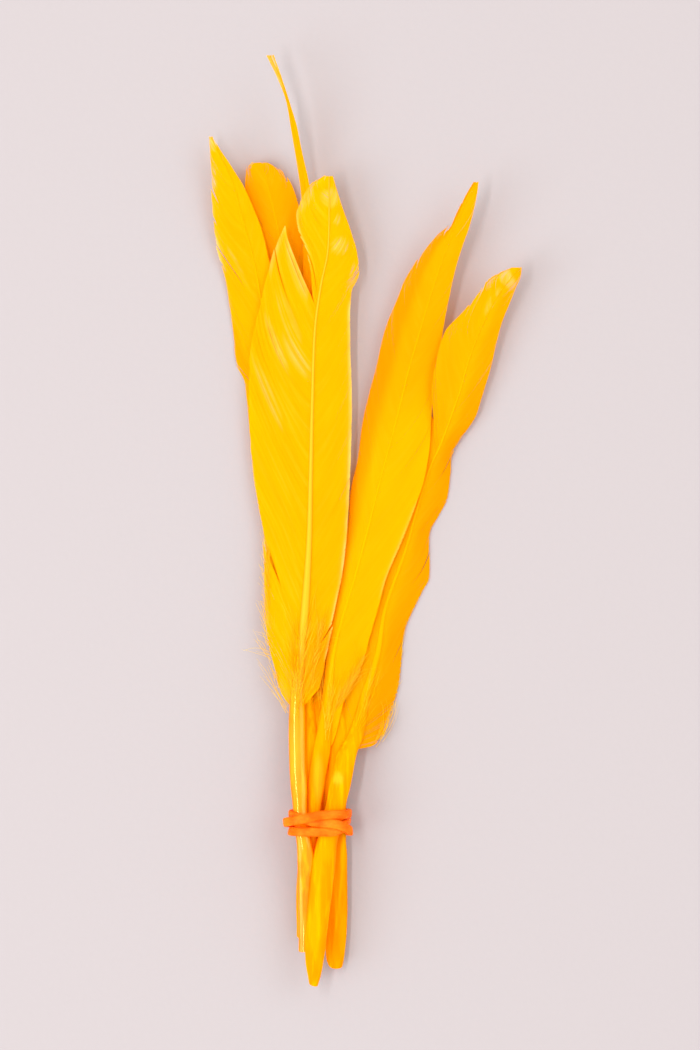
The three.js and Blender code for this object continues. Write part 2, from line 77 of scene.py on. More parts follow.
FAR_LEFT = {"shaft": [
    (-11.9, -60.8, 2.65, 1.15), (-11.4, -57.4, 2.7, 1.2), (-11.1, -53.2, 2.6, 1.2),
    (-10.7, -45.6, 2.25, 1.2), (-10.9, -38, 1.9, 1.15), (-11.5, -32.3, 1.8, 1.1), (-12.6, -19, 1.75, 0.9),
    (-14, -3.8, 1.75, 0.75), (-15.7, 13.3, 1.8, 0.6), (-17.8, 28.5, 1.9, 0.45), (-19.9, 42.2, 2.3, 0.35),
    (-21.2, 49, 2.8, 0.3), (-23.8, 58.9, 3.8, 0.25), (-25.4, 64.6, 4.3, 0.2), (-29.4, 72.8, 5.2, 0.15),
], "left": [
    (-12.8, -30.4, 1.8), (-14.9, -24.7, 1.3), (-17.4, -15.2, 0.7), (-19.7, 0, 0.4), (-21.6, 12.3, 0.3),
    (-22.7, 23.8, 0.3), (-23.1, 26.6, 0.3), (-24.6, 30, 0.3), (-25.2, 35.9, 0.35), (-26.7, 45.8, 0.9),
    (-28.6, 53.8, 2.1), (-29.4, 67.3, 4.3), (-29.7, 72.8, 5.1),
], "right": [
    (-10.4, -30.4, 2), (-10.9, -22.8, 2.8), (-11.3, -5.7, 3), (-11.9, 13.3, 2.9), (-13, 32.3, 2.9),
    (-15.3, 41.8, 2.85), (-18.1, 48.6, 3.05), (-19.9, 55.7, 3.7), (-23.1, 63.3, 4.3), (-25, 66.5, 4.5),
    (-27.3, 69.9, 4.9), (-29.1, 72.8, 5.2),
]}

BACK_BLUNT = {"shaft": [
    (-8.6, -73.2, 2.1, 1), (-8.6, -66.5, 2.4, 1.1), (-8.8, -57.4, 2.6, 1.1), (-8.3, -49.4, 2.4, 1.1),
    (-8.1, -41.8, 2.1, 1.1), (-8.5, -34.2, 1.85, 1.05), (-9, -24.7, 1.65, 0.95), (-10.2, -7.6, 1.4, 0.75),
    (-11.5, 13.3, 1.3, 0.6), (-13.2, 32.3, 1.3, 0.45), (-14.7, 43.7, 1.5, 0.35), (-16.6, 55.1, 2, 0.3),
    (-19.7, 68, 2.8, 0.2),
], "left": [
    (-10, -30.4, 1.8), (-10.7, -24.7, 1.5), (-12.1, -5.7, 1.2), (-14, 13.3, 0.8), (-17.2, 26.6, 0.5),
    (-20.4, 36.1, 0.5), (-22.3, 45.6, 0.7), (-23.1, 57, 1.4), (-22.9, 63.3, 2), (-22.3, 67.5, 2.6),
    (-21.4, 68, 2.7),
], "right": [
    (-7.5, -30.4, 1.7), (-8.3, -24.7, 1.5), (-9.2, -5.7, 1.1), (-10.5, 13.3, 1), (-11.1, 26.6, 0.9),
    (-10.4, 34.2, 0.8), (-10.2, 41.2, 0.9), (-11.1, 49.4, 1.2), (-12.8, 60.2, 1.9), (-14.1, 63.9, 2.2),
    (-15.8, 66.2, 2.5), (-17.2, 67.3, 2.7), (-18.6, 68, 2.8),
]}

BACK_CURLED = {"shaft": [
    (-5.7, -84.7, 2.05, 1.3), (-5.7, -83.5, 2.05, 1.6), (-5.6, -77.9, 2.1, 1.75), (-5.5, -66.5, 2.6, 1.7),
    (-5.4, -57.4, 3.1, 1.6), (-5.4, -53.2, 2.85, 1.5), (-5, -45.6, 2.55, 1.45), (-5.2, -38, 2.2, 1.35),
    (-5.8, -32.3, 2.1, 1.2), (-6.6, -24.7, 2, 1), (-7.5, -7.6, 1.8, 0.8), (-8.3, 9.5, 1.7, 0.65),
    (-9.2, 26.6, 2, 0.5), (-10, 41.8, 2.9, 0.4), (-10.7, 53.2, 3.6, 0.33), (-11.5, 62.7, 4.4, 0.3),
    (-12.4, 69.3, 5.4, 0.25), (-13.7, 74.9, 6.2, 0.22), (-14.7, 79.6, 7, 0.2), (-16.2, 84, 7.8, 0.18),
    (-18.1, 88, 8.6, 0.15),
], "left": [
    (-7.5, -28.5, 2.1), (-7.7, -22.8, 1.5), (-8.6, -7.6, 1.1), (-9.9, 9.5, 1.1), (-10.7, 22.8, 1.6),
    (-11.3, 34.2, 2.2), (-11.7, 41.8, 2.4), (-12, 58, 2.8), (-12.3, 62.5, 3.4), (-13.3, 69.3, 4),
    (-14.2, 74.5, 4.9), (-15.1, 79.6, 6.2), (-16.8, 84, 7), (-18.8, 88, 7.8),
], "right": [
    (-4.8, -28.5, 2), (-4.7, -22.8, 1.4), (-4.8, -7.6, 0.9), (-5.2, 9.5, 0.8), (-6, 22.8, 1),
    (-6.7, 34.2, 1.8), (-7.5, 41.8, 2.7), (-8.6, 49.4, 3.6), (-10.2, 58, 4.6), (-10.5, 62.7, 5.3),
    (-12.1, 70.1, 7.4), (-13, 74.5, 8.2), (-14.3, 78.8, 8.6), (-15.5, 82.5, 9), (-17.4, 88, 9.4),
]}

FRONT_RIGHT = {"shaft": [
    (-11.9, -79.2, 1.5, 1.1), (-11.7, -73.2, 1.9, 1.15), (-11.4, -67.5, 3.2, 1.2),
    (-10.9, -63.6, 4.4, 1.2), (-10.6, -60.8, 5.05, 1.2), (-10.2, -57.4, 5.15, 1.2),
    (-9.8, -54.7, 5.15, 1.2), (-9.3, -49.4, 5.1, 1.22), (-8.8, -46.5, 5.1, 1.32), (-8, -42, 5.05, 1.42),
    (-7.3, -36.5, 4.85, 1.3), (-6.7, -30.8, 4.5, 1.05), (-6, -24.9, 4.2, 0.85), (-4.3, -18.2, 3.9, 0.75),
    (-2.2, -11.4, 3.9, 0.7), (0.5, -1.5, 3.9, 0.6), (2.8, 7.6, 4, 0.5), (6, 19.6, 4.4, 0.4),
    (8.1, 28.1, 4.9, 0.33), (10.4, 36.1, 5.4, 0.3), (12.8, 44.1, 6, 0.27), (15.3, 51.3, 6.8, 0.23),
    (18, 58, 7.6, 0.2), (21, 64, 8.5, 0.15),
], "left": [
    (-9.4, -45, 5.2), (-9.2, -41, 5.1), (-8.9, -38, 5), (-8.3, -35.1, 4.7), (-7.6, -28.5, 4.1),
    (-7.3, -24.7, 3.7), (-6.6, -18.4, 3.2), (-5.6, -13.3, 2.9), (-4.7, -7.4, 2.6), (-3.3, -0.6, 2.2),
    (-2.8, 5.7, 1.9), (-1.6, 11, 1.8), (-0.5, 18.8, 1.9), (0.7, 24.1, 2.1), (1.9, 28.5, 2.4),
    (3.7, 36.1, 3.1), (5.8, 41.4, 3.6), (7.7, 46, 4.3), (10.7, 50.5, 5.3), (13.6, 54, 6.1),
    (15.9, 55.9, 6.6), (18.1, 60, 7.4), (19.5, 62.5, 7.9), (20.4, 64, 8.4),
], "right": [
    (-7, -45, 5.3), (-5.9, -41.5, 5.2), (-5.1, -38.6, 5), (-4.6, -36.4, 4.8), (-3.7, -33.2, 4.5),
    (-2, -30.4, 4.2), (-0.4, -26.6, 3.9), (0.9, -21.9, 3.8), (2.2, -17.5, 3.8), (4.1, -10.6, 3.7),
    (7.5, -2.5, 3.8), (10.9, 6.8, 3.9), (12, 12.4, 3.9), (12.4, 17.1, 3.9), (13.1, 28.5, 4.2),
    (14.2, 33.1, 4.7), (15.5, 40.3, 5.4), (17.4, 48.8, 6.4), (19.7, 55.7, 7.4), (21, 61, 8.2),
    (21.4, 64, 8.5),
]}

FAR_RIGHT = {"shaft": [
    (-9.9, -88, 6.8, 0.8), (-9.8, -86.3, 6.85, 1.15), (-9.7, -84.5, 6.9, 1.4), (-9.3, -77.9, 7.35, 1.75),
    (-8.7, -72.2, 7.45, 1.8), (-8, -66.5, 7.25, 1.8), (-7.4, -61.4, 6.9, 1.8), (-6.4, -57.4, 6.75, 1.75),
    (-5.5, -53.2, 6.4, 1.7), (-4.6, -49, 6.05, 1.65), (-3.5, -44.3, 5.5, 1.6), (-2, -41, 4.7, 1.5),
    (-0.7, -36.1, 3.9, 1.3), (0.1, -32.7, 3.5, 1.2), (2.4, -24.9, 2.9, 1), (3.7, -16.9, 2.5, 0.85),
    (7.5, -5.9, 2.4, 0.7), (11.1, 6.8, 2.6, 0.55), (12.6, 10.8, 2.9, 0.52), (14, 13.7, 3.3, 0.5),
    (15.7, 18.1, 4, 0.45), (18, 24.7, 4.6, 0.4), (19.5, 30, 5, 0.35), (21.8, 36.1, 5.6, 0.3),
    (25.2, 42.6, 6.4, 0.25), (29.2, 47.9, 7.2, 0.15),
], "left": [
    (-4.9, -43.9, 5.3), (-4.2, -39, 4), (-4, -34.2, 3.1), (-3.4, -28.5, 2.5), (-2.4, -22.8, 2.1),
    (-0.2, -15.2, 1.9), (2.5, -5.7, 1.9), (5.6, 0.8, 2.1), (9.4, 7.6, 2.3), (11.5, 11.4, 2.6),
    (13.6, 13.9, 3.4), (13, 15, 4.3), (12.3, 16, 5.1), (12.4, 23.8, 5.7), (13.1, 28.7, 6),
    (15.1, 35.7, 6.3), (18.7, 39.7, 6.4), (21.9, 43.5, 6.6), (23.1, 45.4, 6.6), (25, 46.7, 6.8),
    (27.8, 47.9, 7.1),
], "right": [
    (-2, -43.9, 5.3), (1.3, -42.9, 3.6), (2.6, -41.6, 2.5), (3.6, -39.2, 1.7), (4.7, -36.3, 1),
    (5.8, -33.4, 0.6), (6.6, -29.1, 0.4), (7.1, -23.2, 0.35), (7.8, -20.1, 0.35), (10.7, -13.9, 0.35),
    (12.1, -11, 0.3), (12.3, -2.5, 0.3), (14.3, 1.5, 0.3), (15.5, 4, 0.3), (16.2, 9.1, 0.45),
    (16.4, 11.8, 0.7), (17.8, 15, 1.3), (19.9, 17.9, 1.9), (21.1, 19.9, 2.2), (22.1, 23.2, 2.7),
    (23.7, 28.5, 3.5), (25.7, 36.7, 4.9), (28.4, 43.7, 6.4), (29.4, 46.2, 7), (29.6, 47.9, 7.2),
]}

# The left edge of the far right feather's barbs that have split off and lie over its neighbour, and of
# the ones below the split, which stay under it.
SPLIT_UPPER_EDGE = [
    (12.7, 12.2, 3.4), (12.5, 14, 4.2), (12.2, 16, 5), (12.2, 19, 5.5),
] + FAR_RIGHT["left"][13:]
SPLIT_LOWER_EDGE = FAR_RIGHT["left"][:9] + [(10.4, 11.4, 2.5), (11.3, 15.5, 2.8), (12, 21, 2.9)]

# ---- how the feathers are finished ----
# "seed" starts the random values. "angle", between a barb and the shaft, and "rough", how uneven the vane
# is, are (left, right). "base" is the amount of orange all over, partly dye and partly painted shade on the
# feathers that lie in the shade of others, "relief" how much the shaft stands out of the vane and "gloss"
# how shiny it is. The other keys are left out where a feather has nothing of the kind:
# - "pale" patches, where the dye has worn off frayed barbs, and "deep" ones, where it is more orange,
#   partly
#   from denser dye and partly painted shade:
#   (x, y, half width, half length, lean in degrees from +Y towards -X, strength)
# - "shade" is painted shade, more orange towards an edge: (side, share of the barb where it starts, is
#   full, amount)
# - "rims", pale lines along an edge: (side, from y, to y, strength)
# - "splits", where a vane has come apart: (side, y at the edge, depth as a share of the barb, gap)
# - "nicks", where the edge is worn back: (side, y at the edge, half length, share of the barb)

SIDES = ("left", "right")
FEATHERS = {
    "front_left": {
        **FRONT_LEFT, "slot": "feather_bright", "seed": 11, "angle": (27, 30), "base": 0.14,
        "relief": 0.95, "gloss": 1.0, "rough": (0.6, 0.25),
        "pale": [
            (-6.7, 61, 2.3, 2.3, 20, 0.5), (-5.4, 57, 0.9, 1.3, 0, 0.4), (-4.9, 52, 1.9, 1.9, 20, 0.5),
            (-2.2, 46.2, 0.7, 2.8, 0, 0.9), (-11.6, 61, 1.3, 3, -35, 0.6), (-13.2, 49, 1.8, 8, 14, 0.7),
            (-14.6, 38, 1.5, 7, 20, 0.5), (-16.8, 33, 0.9, 7, 22, 0.6), (-13, 31.3, 1.9, 5, 28, 0.5),
            (-18.5, 24, 1.2, 8, 22, 0.4), (-19.2, -12, 0.9, 11, 0, 0.8),
        ],
        "deep": [(-8.5, -26, 2.4, 9, -8, 0.55)],
        "rims": [("right", -24, 40, 0.75), ("left", 50, 58, 0.5)],
        "splits": [
            ("left", 51.5, 0.75, 0.3), ("left", -4.3, 0.45, 1), ("right", 47.4, 0.3, 0.22),
            ("right", -20, 0.4, 0.4),
        ],
    },
    "far_left": {
        **FAR_LEFT, "slot": "feather_bright", "seed": 23, "angle": (27, 26), "base": 0.22,
        "relief": 0.3, "gloss": 0.1, "rough": (0.35, 0.3),
        "pale": [
            (-28.9, 65, 0.7, 3, 0, 0.8), (-29, 71.5, 0.9, 2, 10, 0.7), (-24.2, 48, 0.5, 5, 26, 0.35),
        ],
        "deep": [(-25, 34, 1.6, 9, 20, 0.35)],
        "rims": [("left", 50, 53, 0.6), ("left", 60, 72, 0.4)],
        "splits": [("left", 52.3, 0.7, 0.35), ("left", 29.5, 0.45, 0.3), ("left", 63, 0.3, 0.5)],
        "nicks": [("left", 57.5, 0.5, 0.12), ("left", 49, 0.5, 0.1)],
    },
    # The back blunt feather's high base is mostly painted shade: it lies low, under the others.
    "back_blunt": {
        **BACK_BLUNT, "slot": "feather_deep", "seed": 37, "angle": (28, 28), "base": 0.5,
        "relief": 0.1, "gloss": 0.1, "rough": (0.3, 0.3),
        "splits": [("left", 67.2, 0.2, 0.35), ("right", 66.9, 0.15, 0.25)],
        "nicks": [("left", 67.95, 0.35, 0.2), ("right", 67.6, 0.35, 0.22), ("right", 65.8, 0.4, 0.16)],
    },
    "back_curled": {
        **BACK_CURLED, "slot": "feather_deep", "seed": 41, "angle": (22, 22), "base": 0.32,
        "relief": 0.1, "gloss": 0.1, "rough": (0.2, 0.2),
        "pale": [(-17.4, 85.5, 1.2, 6, 24, 0.6)],
    },
    "front_right": {
        **FRONT_RIGHT, "slot": "feather_bright", "seed": 53, "angle": (25, 26), "base": 0.12,
        "relief": 0.1, "gloss": 0.1, "rough": (0.2, 0.2),
        "pale": [(-1.5, -28.5, 0.7, 5, -30, 0.4)],
        "deep": [(13, 50, 13, 44, -20, 0.4)],
        "shade": [("left", 0.32, 0.75, 0.6)],
        "rims": [("right", -12, 2, 0.25)],
        "splits": [("left", 56.2, 0.35, 0.5), ("left", 50, 0.12, 0.3), ("left", -14, 0.2, 0.2)],
        "nicks": [("left", 56.8, 0.9, 0.42), ("left", 50, 0.5, 0.06), ("left", 60.6, 0.5, 0.2)],
    },
    "far_right": {
        **FAR_RIGHT, "slot": "feather_deep", "seed": 67, "angle": (24, 26), "base": 0.36,
        "relief": 0.25, "gloss": 0.15, "rough": (0.25, 0.25),
        "pale": [(26.6, 46, 3.4, 1.5, -55, 0.75), (24, 41.5, 0.8, 3.5, -30, 0.4)],
        "shade": [("right", 0.1, 0.5, 0.22)],
        "splits": [
            ("right", 12.4, 0.5, 0.3), ("right", -6.1, 0.6, 0.3), ("right", -22.6, 0.5, 0.3),
            ("left", 44.8, 0.15, 0.2),
        ],
        "nicks": [("left", 41.6, 0.8, 0.08), ("right", 14, 0.6, 0.1)],
    },
}

# ---- small helpers ----

def smooth(start, full, value):
    """0 below start, 1 above full and an even curve between them."""
    t = np.clip((value - start) / (full - start), 0.0, 1.0)
    return t * t * (3.0 - 2.0 * t)


def curve_at(table, y):
    """The row of a [x, y, z, ...] table at height y, by a smooth curve through its rows in order of y."""
    table = np.asarray(table, float)
    heights = table[:, 1]
    before = np.concatenate([table[:1], table[:-1]])
    after = np.concatenate([table[1:], table[-1:]])
    slope = (after - before) / (after[:, 1] - before[:, 1])[:, None]
    y = np.clip(y, heights[0], heights[-1])
    i = np.clip(np.searchsorted(heights, y, side="right") - 1, 0, len(table) - 2)
    step = heights[i + 1] - heights[i]
    t = (y - heights[i]) / step
    blend = (
        2 * t**3 - 3 * t**2 + 1,
        (t**3 - 2 * t**2 + t) * step,
        -2 * t**3 + 3 * t**2,
        (t**3 - t**2) * step,
    )
    rows = (table[i], slope[i], table[i + 1], slope[i + 1])
    return sum(b[..., None] * row for b, row in zip(blend, rows))


def wobble(rng, positions, period):
    """Smooth random values from -1 to 1 at the positions, which change over about one period."""
    positions = np.asarray(positions, float) / period
    first = math.floor(positions.min()) - 1
    values = rng.uniform(-1, 1, math.ceil(positions.max()) - first + 3)
    cell = np.floor(positions).astype(int)
    t = positions - cell
    t = t * t * (3 - 2 * t)
    return values[cell - first] * (1 - t) + values[cell - first + 1] * t


def unit(vectors):
    return vectors / np.maximum(np.linalg.norm(vectors, axis=-1, keepdims=True), 1e-9)


PATCH_FADE = 0.55           # how far a patch fades towards its rim, as a share of its size


def patches_at(patches, points):
    """How strongly a list of (x, y, half width, half length, lean, strength) patches covers each point."""
    total = np.zeros(points.shape[:-1])
    for x, y, wide, long, lean, strength in patches:
        angle = math.radians(lean)
        dx = points[..., 0] - x
        dy = points[..., 1] - y
        across = dx * math.cos(angle) + dy * math.sin(angle)
        along = dy * math.cos(angle) - dx * math.sin(angle)
        inside = 1 - np.hypot(across / wide, along / long)
        total = np.maximum(total, strength * smooth(0, PATCH_FADE, inside))
    return total


def ends_of(feather):
    """The y of a feather's cut end, of its vane's foot and of its tip."""
    return feather["shaft"][0][1], feather["left"][0][1], feather["shaft"][-1][1]


# ---- meshes ----

UV_MAP = "OFBake"


def mesh_object(name, points, faces, material, values=None, uv=None, sharp_above=None):
    """A mesh from points in millimetres and rows of four point numbers. values are named numbers for each
    point, and uv is a place on the map for each corner of each face."""
    mesh = bpy.data.meshes.new(name)
    mesh.from_pydata(np.asarray(points) * MM, [], np.asarray(faces), shade_flat=False)
    mesh.validate()
    for key, numbers in (values or {}).items():
        layer = mesh.attributes.new(key, "FLOAT", "POINT")
        layer.data.foreach_set("value", np.asarray(numbers, np.float32).ravel())
    if uv is not None:
        layer = mesh.uv_layers.new(name=UV_MAP)
        layer.uv.foreach_set("vector", np.asarray(uv, np.float32).ravel())
    if sharp_above is not None:
        mesh.set_sharp_from_angle(angle=math.radians(sharp_above))
    mesh.materials.append(material)
    piece = bpy.data.objects.new(name, mesh)
    bpy.context.scene.collection.objects.link(piece)
    return piece


def strands(centres, side, up, half_width, rise, dip, tilt=0.0):
    """Closed prisms with four sides, one along each row of centres. A section has an edge on either side,
    a ridge on top and a keel below, and tilt lifts one edge and lowers the other."""
    wide = half_width[..., None]
    lean = np.broadcast_to(np.asarray(tilt), half_width.shape)[..., None]
    section = np.stack([
        centres - side * wide - up * lean,
        centres - up * dip[..., None],
        centres + side * wide + up * lean,
        centres + up * rise[..., None],
    ], axis=2)
    count, stations = half_width.shape
    number = np.arange(count * stations * 4).reshape(count, stations, 4)
    return section.reshape(-1, 3), strand_faces(number)


def strand_faces(corners):
    """For rows of sections with four corners: the four corners of each face of the strands."""
    turned = np.roll(corners, -1, axis=2)
    sides = np.stack([corners[:, :-1], turned[:, :-1], turned[:, 1:], corners[:, 1:]], axis=3)
    shape = (-1, 4) + corners.shape[3:]
    return np.concatenate([sides.reshape(shape), corners[:, 0, ::-1], corners[:, -1]])


def strand_map(count, stations):
    """Places on the map for the faces of strands(): each strand has a row, with its length across."""
    along = np.linspace(0.004, 0.996, stations)
    row, u, v = np.meshgrid(np.arange(count), along, (0.12, 0.5, 0.88, 0.5), indexing="ij")
    return strand_faces(np.stack([u, (row + v) / count], axis=-1))


def tube_faces(rings, around):
    """Faces between each ring of points and the next, and last those from the last ring to the first."""
    number = np.arange(rings * around).reshape(rings, around)
    turned = np.roll(number, -1, axis=1)
    corners = [number, turned, np.roll(turned, -1, axis=0), np.roll(number, -1, axis=0)]
    return np.stack(corners, axis=-1).reshape(-1, 4)


def tube_map(borders, around):
    """Places on the map for tube_faces(), whose rows of faces lie between the given borders along it."""
    near, far = borders[:-1], borders[1:]
    low = np.arange(around) / around
    high = low + 1 / around
    corners = [(near, low), (near, high), (far, high), (far, low)]
    corners = [np.stack(np.meshgrid(u, v, indexing="ij"), axis=-1) for u, v in corners]
    return np.stack(corners, axis=-2).reshape(-1, 4, 2)


# ---- materials ----

BRIGHT = (1, 0.68, 0, 1)
# DEEP is the deeper orange, both of denser dye and of painted shade; the dark streaks use it too.
DEEP = (1, 0.49, 0, 1)
STREAK = (1, 0.80, 0.04, 1)
SHAFT = (1, 0.68, 0, 1)
SHAFT_DULL = (1, 0.56, 0, 1)
PALE = (1, 0.88, 0.29, 1)
QUILL = (1, 0.47, 0, 1)
QUILL_DARK = (1, 0.39, 0, 1)
QUILL_STREAK = (1, 0.62, 0, 1)
SHEEN = (1, 0.84, 0.26, 1)        # wax yellow: only the brightest reflections turn white
RUBBER = (1, 0.10, 0, 1)
RUBBER_PALE = (1, 0.18, 0.005, 1)
DOWN = (1, 0.70, 0, 1)
DOWN_PALE = (1, 0.78, 0.05, 1)
PAPER = (0.366, 0.332, 0.344, 1)
PAPER_GRAIN = (0.314, 0.283, 0.292, 1)
LET_THROUGH = 0.66                  # the share of the light that thin barbs let through


def new_material(name):
    material = bpy.data.materials.new(name)
    material.use_nodes = True
    tree = material.node_tree
    tree.nodes.clear()
    return material, tree


def node(tree, kind, inputs=None, **settings):
    """A node whose inputs are given values or other nodes' outputs."""
    made = tree.nodes.new("ShaderNode" + kind)
    for key, value in settings.items():
        setattr(made, key, value)
    for key, value in (inputs or {}).items():
        if isinstance(value, bpy.types.NodeSocket):
            tree.links.new(value, made.inputs[key])
        else:
            made.inputs[key].default_value = value
    return made


def attribute(tree, name):
    return node(tree, "Attribute", attribute_name=name).outputs["Fac"]


def mix_colour(tree, factor, first, second):
    return node(tree, "Mix", {0: factor, 6: first, 7: second}, data_type="RGBA").outputs[2]


def maths(tree, operation, *values):
    """The result of an operation on the values, held between 0 and 1."""
    inputs = dict(enumerate(values))
    return node(tree, "Math", inputs, operation=operation, use_clamp=True).outputs[0]


def ramp(tree, value, low, high, start=0.0, end=1.0):
    """value carried from the range low to high over to the range start to end, and held there."""
    inputs = {"Value": value, "From Min": low, "From Max": high, "To Min": start, "To Max": end}
    return node(tree, "MapRange", inputs, clamp=True).outputs[0]


def noise(tree, scale, detail=3.0, stretch=(1, 1, 1), vector=None):
    """Noise at the object's or the given coordinates, drawn out along axes with a small stretch value."""
    vector = vector or node(tree, "TexCoord").outputs["Object"]
    vector = node(tree, "Mapping", {"Scale": stretch, "Vector": vector}).outputs[0]
    inputs = {"Scale": scale, "Detail": detail, "Vector": vector}
    return node(tree, "TexNoise", inputs).outputs[0]


def bumps(tree, height, strength, distance):
    inputs = {"Height": height, "Strength": strength, "Distance": distance}
    return node(tree, "Bump", inputs).outputs[0]


def principled(tree, colour, roughness, specular, others=None):
    inputs = {"Base Color": colour, "Roughness": roughness, "Specular IOR Level": specular}
    return node(tree, "BsdfPrincipled", {**inputs, **(others or {})}).outputs[0]


def let_through(tree, surface, colour, share):
    """A surface that lets a share of the light through, in its own colour."""
    through = node(tree, "BsdfTranslucent", {"Color": colour}).outputs[0]
    return node(tree, "MixShader", {0: share, 1: surface, 2: through}).outputs[0]


def finished(material, surface):
    node(material.node_tree, "OutputMaterial", {"Surface": surface})
    return material


def vane_material(name):
    """Dyed barbs: silky, a little see-through, streaked along the barbs and paler where they are worn."""
    material, tree = new_material(name)
    barb_place = node(tree, "UVMap", uv_map=UV_MAP).outputs[0]
    streaks = noise(tree, 1.0, 4.0, (1.6, 170, 1), barb_place)
    broad = noise(tree, 1.0, 2.0, (1.2, 34, 1), barb_place)
    cloud = noise(tree, 160)
    streaked = attribute(tree, "streak")
    # deep: more orange, partly dye and partly painted shade, with a little random tone added.
    deep = maths(tree, "ADD", attribute(tree, "deep"), ramp(tree, broad, 0.3, 0.7, -0.08, 0.08))
    light = maths(tree, "MULTIPLY", ramp(tree, streaks, 0.5, 0.75, 0, 0.5), streaked)
    dark = maths(tree, "MULTIPLY", ramp(tree, streaks, 0.45, 0.25, 0, 0.5), streaked)
    worn = maths(tree, "MULTIPLY", ramp(tree, cloud, 0.35, 0.62, 0.35, 1.25), attribute(tree, "pale"))
    colour = mix_colour(tree, deep, BRIGHT, DEEP)
    colour = mix_colour(tree, light, colour, STREAK)
    colour = mix_colour(tree, dark, colour, DEEP)
    colour = mix_colour(tree, worn, colour, PALE)
    sheet = principled(tree, colour, 0.6, 0.01)
    return finished(material, let_through(tree, sheet, colour, LET_THROUGH))


def shaft_material(name, gloss):
    """Horn: streaked lengthwise, orange in the quill and brighter along the vane."""
    material, tree = new_material(name)
    streaks = noise(tree, 1100, 4.0, (1, 0.07, 1))
    cloud = noise(tree, 520, 3.0, (1, 0.2, 1))
    shades = QUILL_DARK, QUILL, QUILL_STREAK, STREAK, SHAFT if gloss > 0.5 else SHAFT_DULL, DEEP
    # Glossy horn lets less light through, which would make it paler.
    darker = 1 - 0.36 * gloss
    dark, middle, streak, pale, bright, deep = [(r, g * darker, b, 1) for r, g, b, _ in shades]
    horn = mix_colour(tree, ramp(tree, cloud, 0.42, 0.58), dark, middle)
    horn = mix_colour(tree, ramp(tree, streaks, 0.48, 0.66, 0, 0.85), horn, streak)
    # pale: painted highlights along the two front quills, and a pale spot on the far right one.
    horn = mix_colour(tree, attribute(tree, "pale"), horn, pale)
    # Along the vane the shaft is as deep as the feather's base: partly dye and partly painted shade.
    along_vane = mix_colour(tree, attribute(tree, "deep"), bright, deep)
    colour = mix_colour(tree, attribute(tree, "vane"), horn, along_vane)
    dull = 0.5 - 0.39 * gloss
    uneven = ramp(tree, streaks, 0.35, 0.65, dull + 0.04, dull)
    rough = maths(tree, "MULTIPLY_ADD", attribute(tree, "vane"), 0.35 * gloss, uneven)
    surface = principled(tree, colour, rough, 0.01 + 0.85 * gloss**2, {
        "Specular Tint": SHEEN,
        "Normal": bumps(tree, streaks, 0.6 - 0.54 * gloss, 0.00012),
    })
    return finished(material, let_through(tree, surface, colour, 0.5 - 0.25 * gloss))


def down_material(name):
    """Fine loose barbs: pale, and mostly seen against the light."""
    material, tree = new_material(name)
    cloud = noise(tree, 220, 2.0)
    colour = mix_colour(tree, ramp(tree, cloud, 0.35, 0.65), DOWN, DOWN_PALE)
    sheet = principled(tree, colour, 0.7, 0.02)
    return finished(material, let_through(tree, sheet, colour, LET_THROUGH))


def rubber_material():
    material, tree = new_material("rubber")
    grain = noise(tree, 5200)
    cloud = noise(tree, 420)
    colour = mix_colour(tree, ramp(tree, cloud, 0.36, 0.66), RUBBER, RUBBER_PALE)
    return finished(material, principled(tree, colour, ramp(tree, grain, 0.3, 0.7, 0.62, 0.42), 0.06, {
        "Subsurface Weight": 0.3,
        "Subsurface Radius": (1.0, 0.35, 0.1),
        "Subsurface Scale": 0.0008,
        "Normal": bumps(tree, grain, 0.4, 0.00006),
    }))


def paper_material():
    material, tree = new_material("paper")
    grain = noise(tree, 900, 4.0)
    colour = mix_colour(tree, ramp(tree, grain, 0.3, 0.7, 0.0, 0.05), PAPER, PAPER_GRAIN)
    normal = bumps(tree, grain, 0.15, 0.0002)
    return finished(material, principled(tree, colour, 0.9, 0.1, {"Normal": normal}))


# ---- vanes ----

BARB_PITCH = 0.36           # from one barb to the next along the shaft
BARB_STATIONS = 12
BARB_OVERLAP = 1.22         # a barb's width over its distance to the next
BARB_RISE = 0.3             # height of its ridge over half its width, with LEAST_RISE added
LEAST_RISE = 0.012
BARB_POWER = 1.3            # how much a barb bends towards the tip
THINNEST_BARB = 0.018       # half its width
CAMBER = 1.6                # power of the curve from the shaft down to a vane's edge
FOOT_LENGTH = 9             # over which the barbs turn from the foot's angle to the vane's own
FOOT_ANGLE = 36             # of the lowest barbs, unless it is in FOOT_ANGLES
FOOT_ANGLES = {"far_right": {"left": 40, "right": 76}}
FOOT_CROWD = 2.0            # how much closer together the lowest barbs are
TIP_MARGIN = 0.4            # from the last root of a barb, or evenly spaced ring of a shaft, to the tip
END_MARGIN = 0.02           # from the end of a barb to the tip
ROOT_JITTER = 0.06          # how far a root strays from its even place
ROOT_STEP = 0.02            # between the places where the roots are counted
WIDTH_STEP = 0.15           # between the places where a vane's width is taken
WIDTH_WINDOW = 61           # how many of those are averaged, an odd number

# Left vanes in two parts: (lower edge, last root, where its barb ends, upper edge, first root).
PARTED_VANES = {
    "front_left": (FRONT_LEFT["left"], 39.5, 56, TORN_TIP_EDGE, 40),
    "far_right": (SPLIT_LOWER_EDGE, 12.6, 21, SPLIT_UPPER_EDGE, 12.3),
}


def vane_point(feather, edge, y, f):
    """The place on a vane at height y and the share f of the way from the shaft to the edge."""
    shaft = curve_at(feather["shaft"], y)
    border = curve_at(edge, y)
    x = shaft[..., 0] + (border[..., 0] - shaft[..., 0]) * f
    z = shaft[..., 2] + (border[..., 2] - shaft[..., 2]) * np.power(f, CAMBER)
    return np.stack([x, y, z], axis=-1)


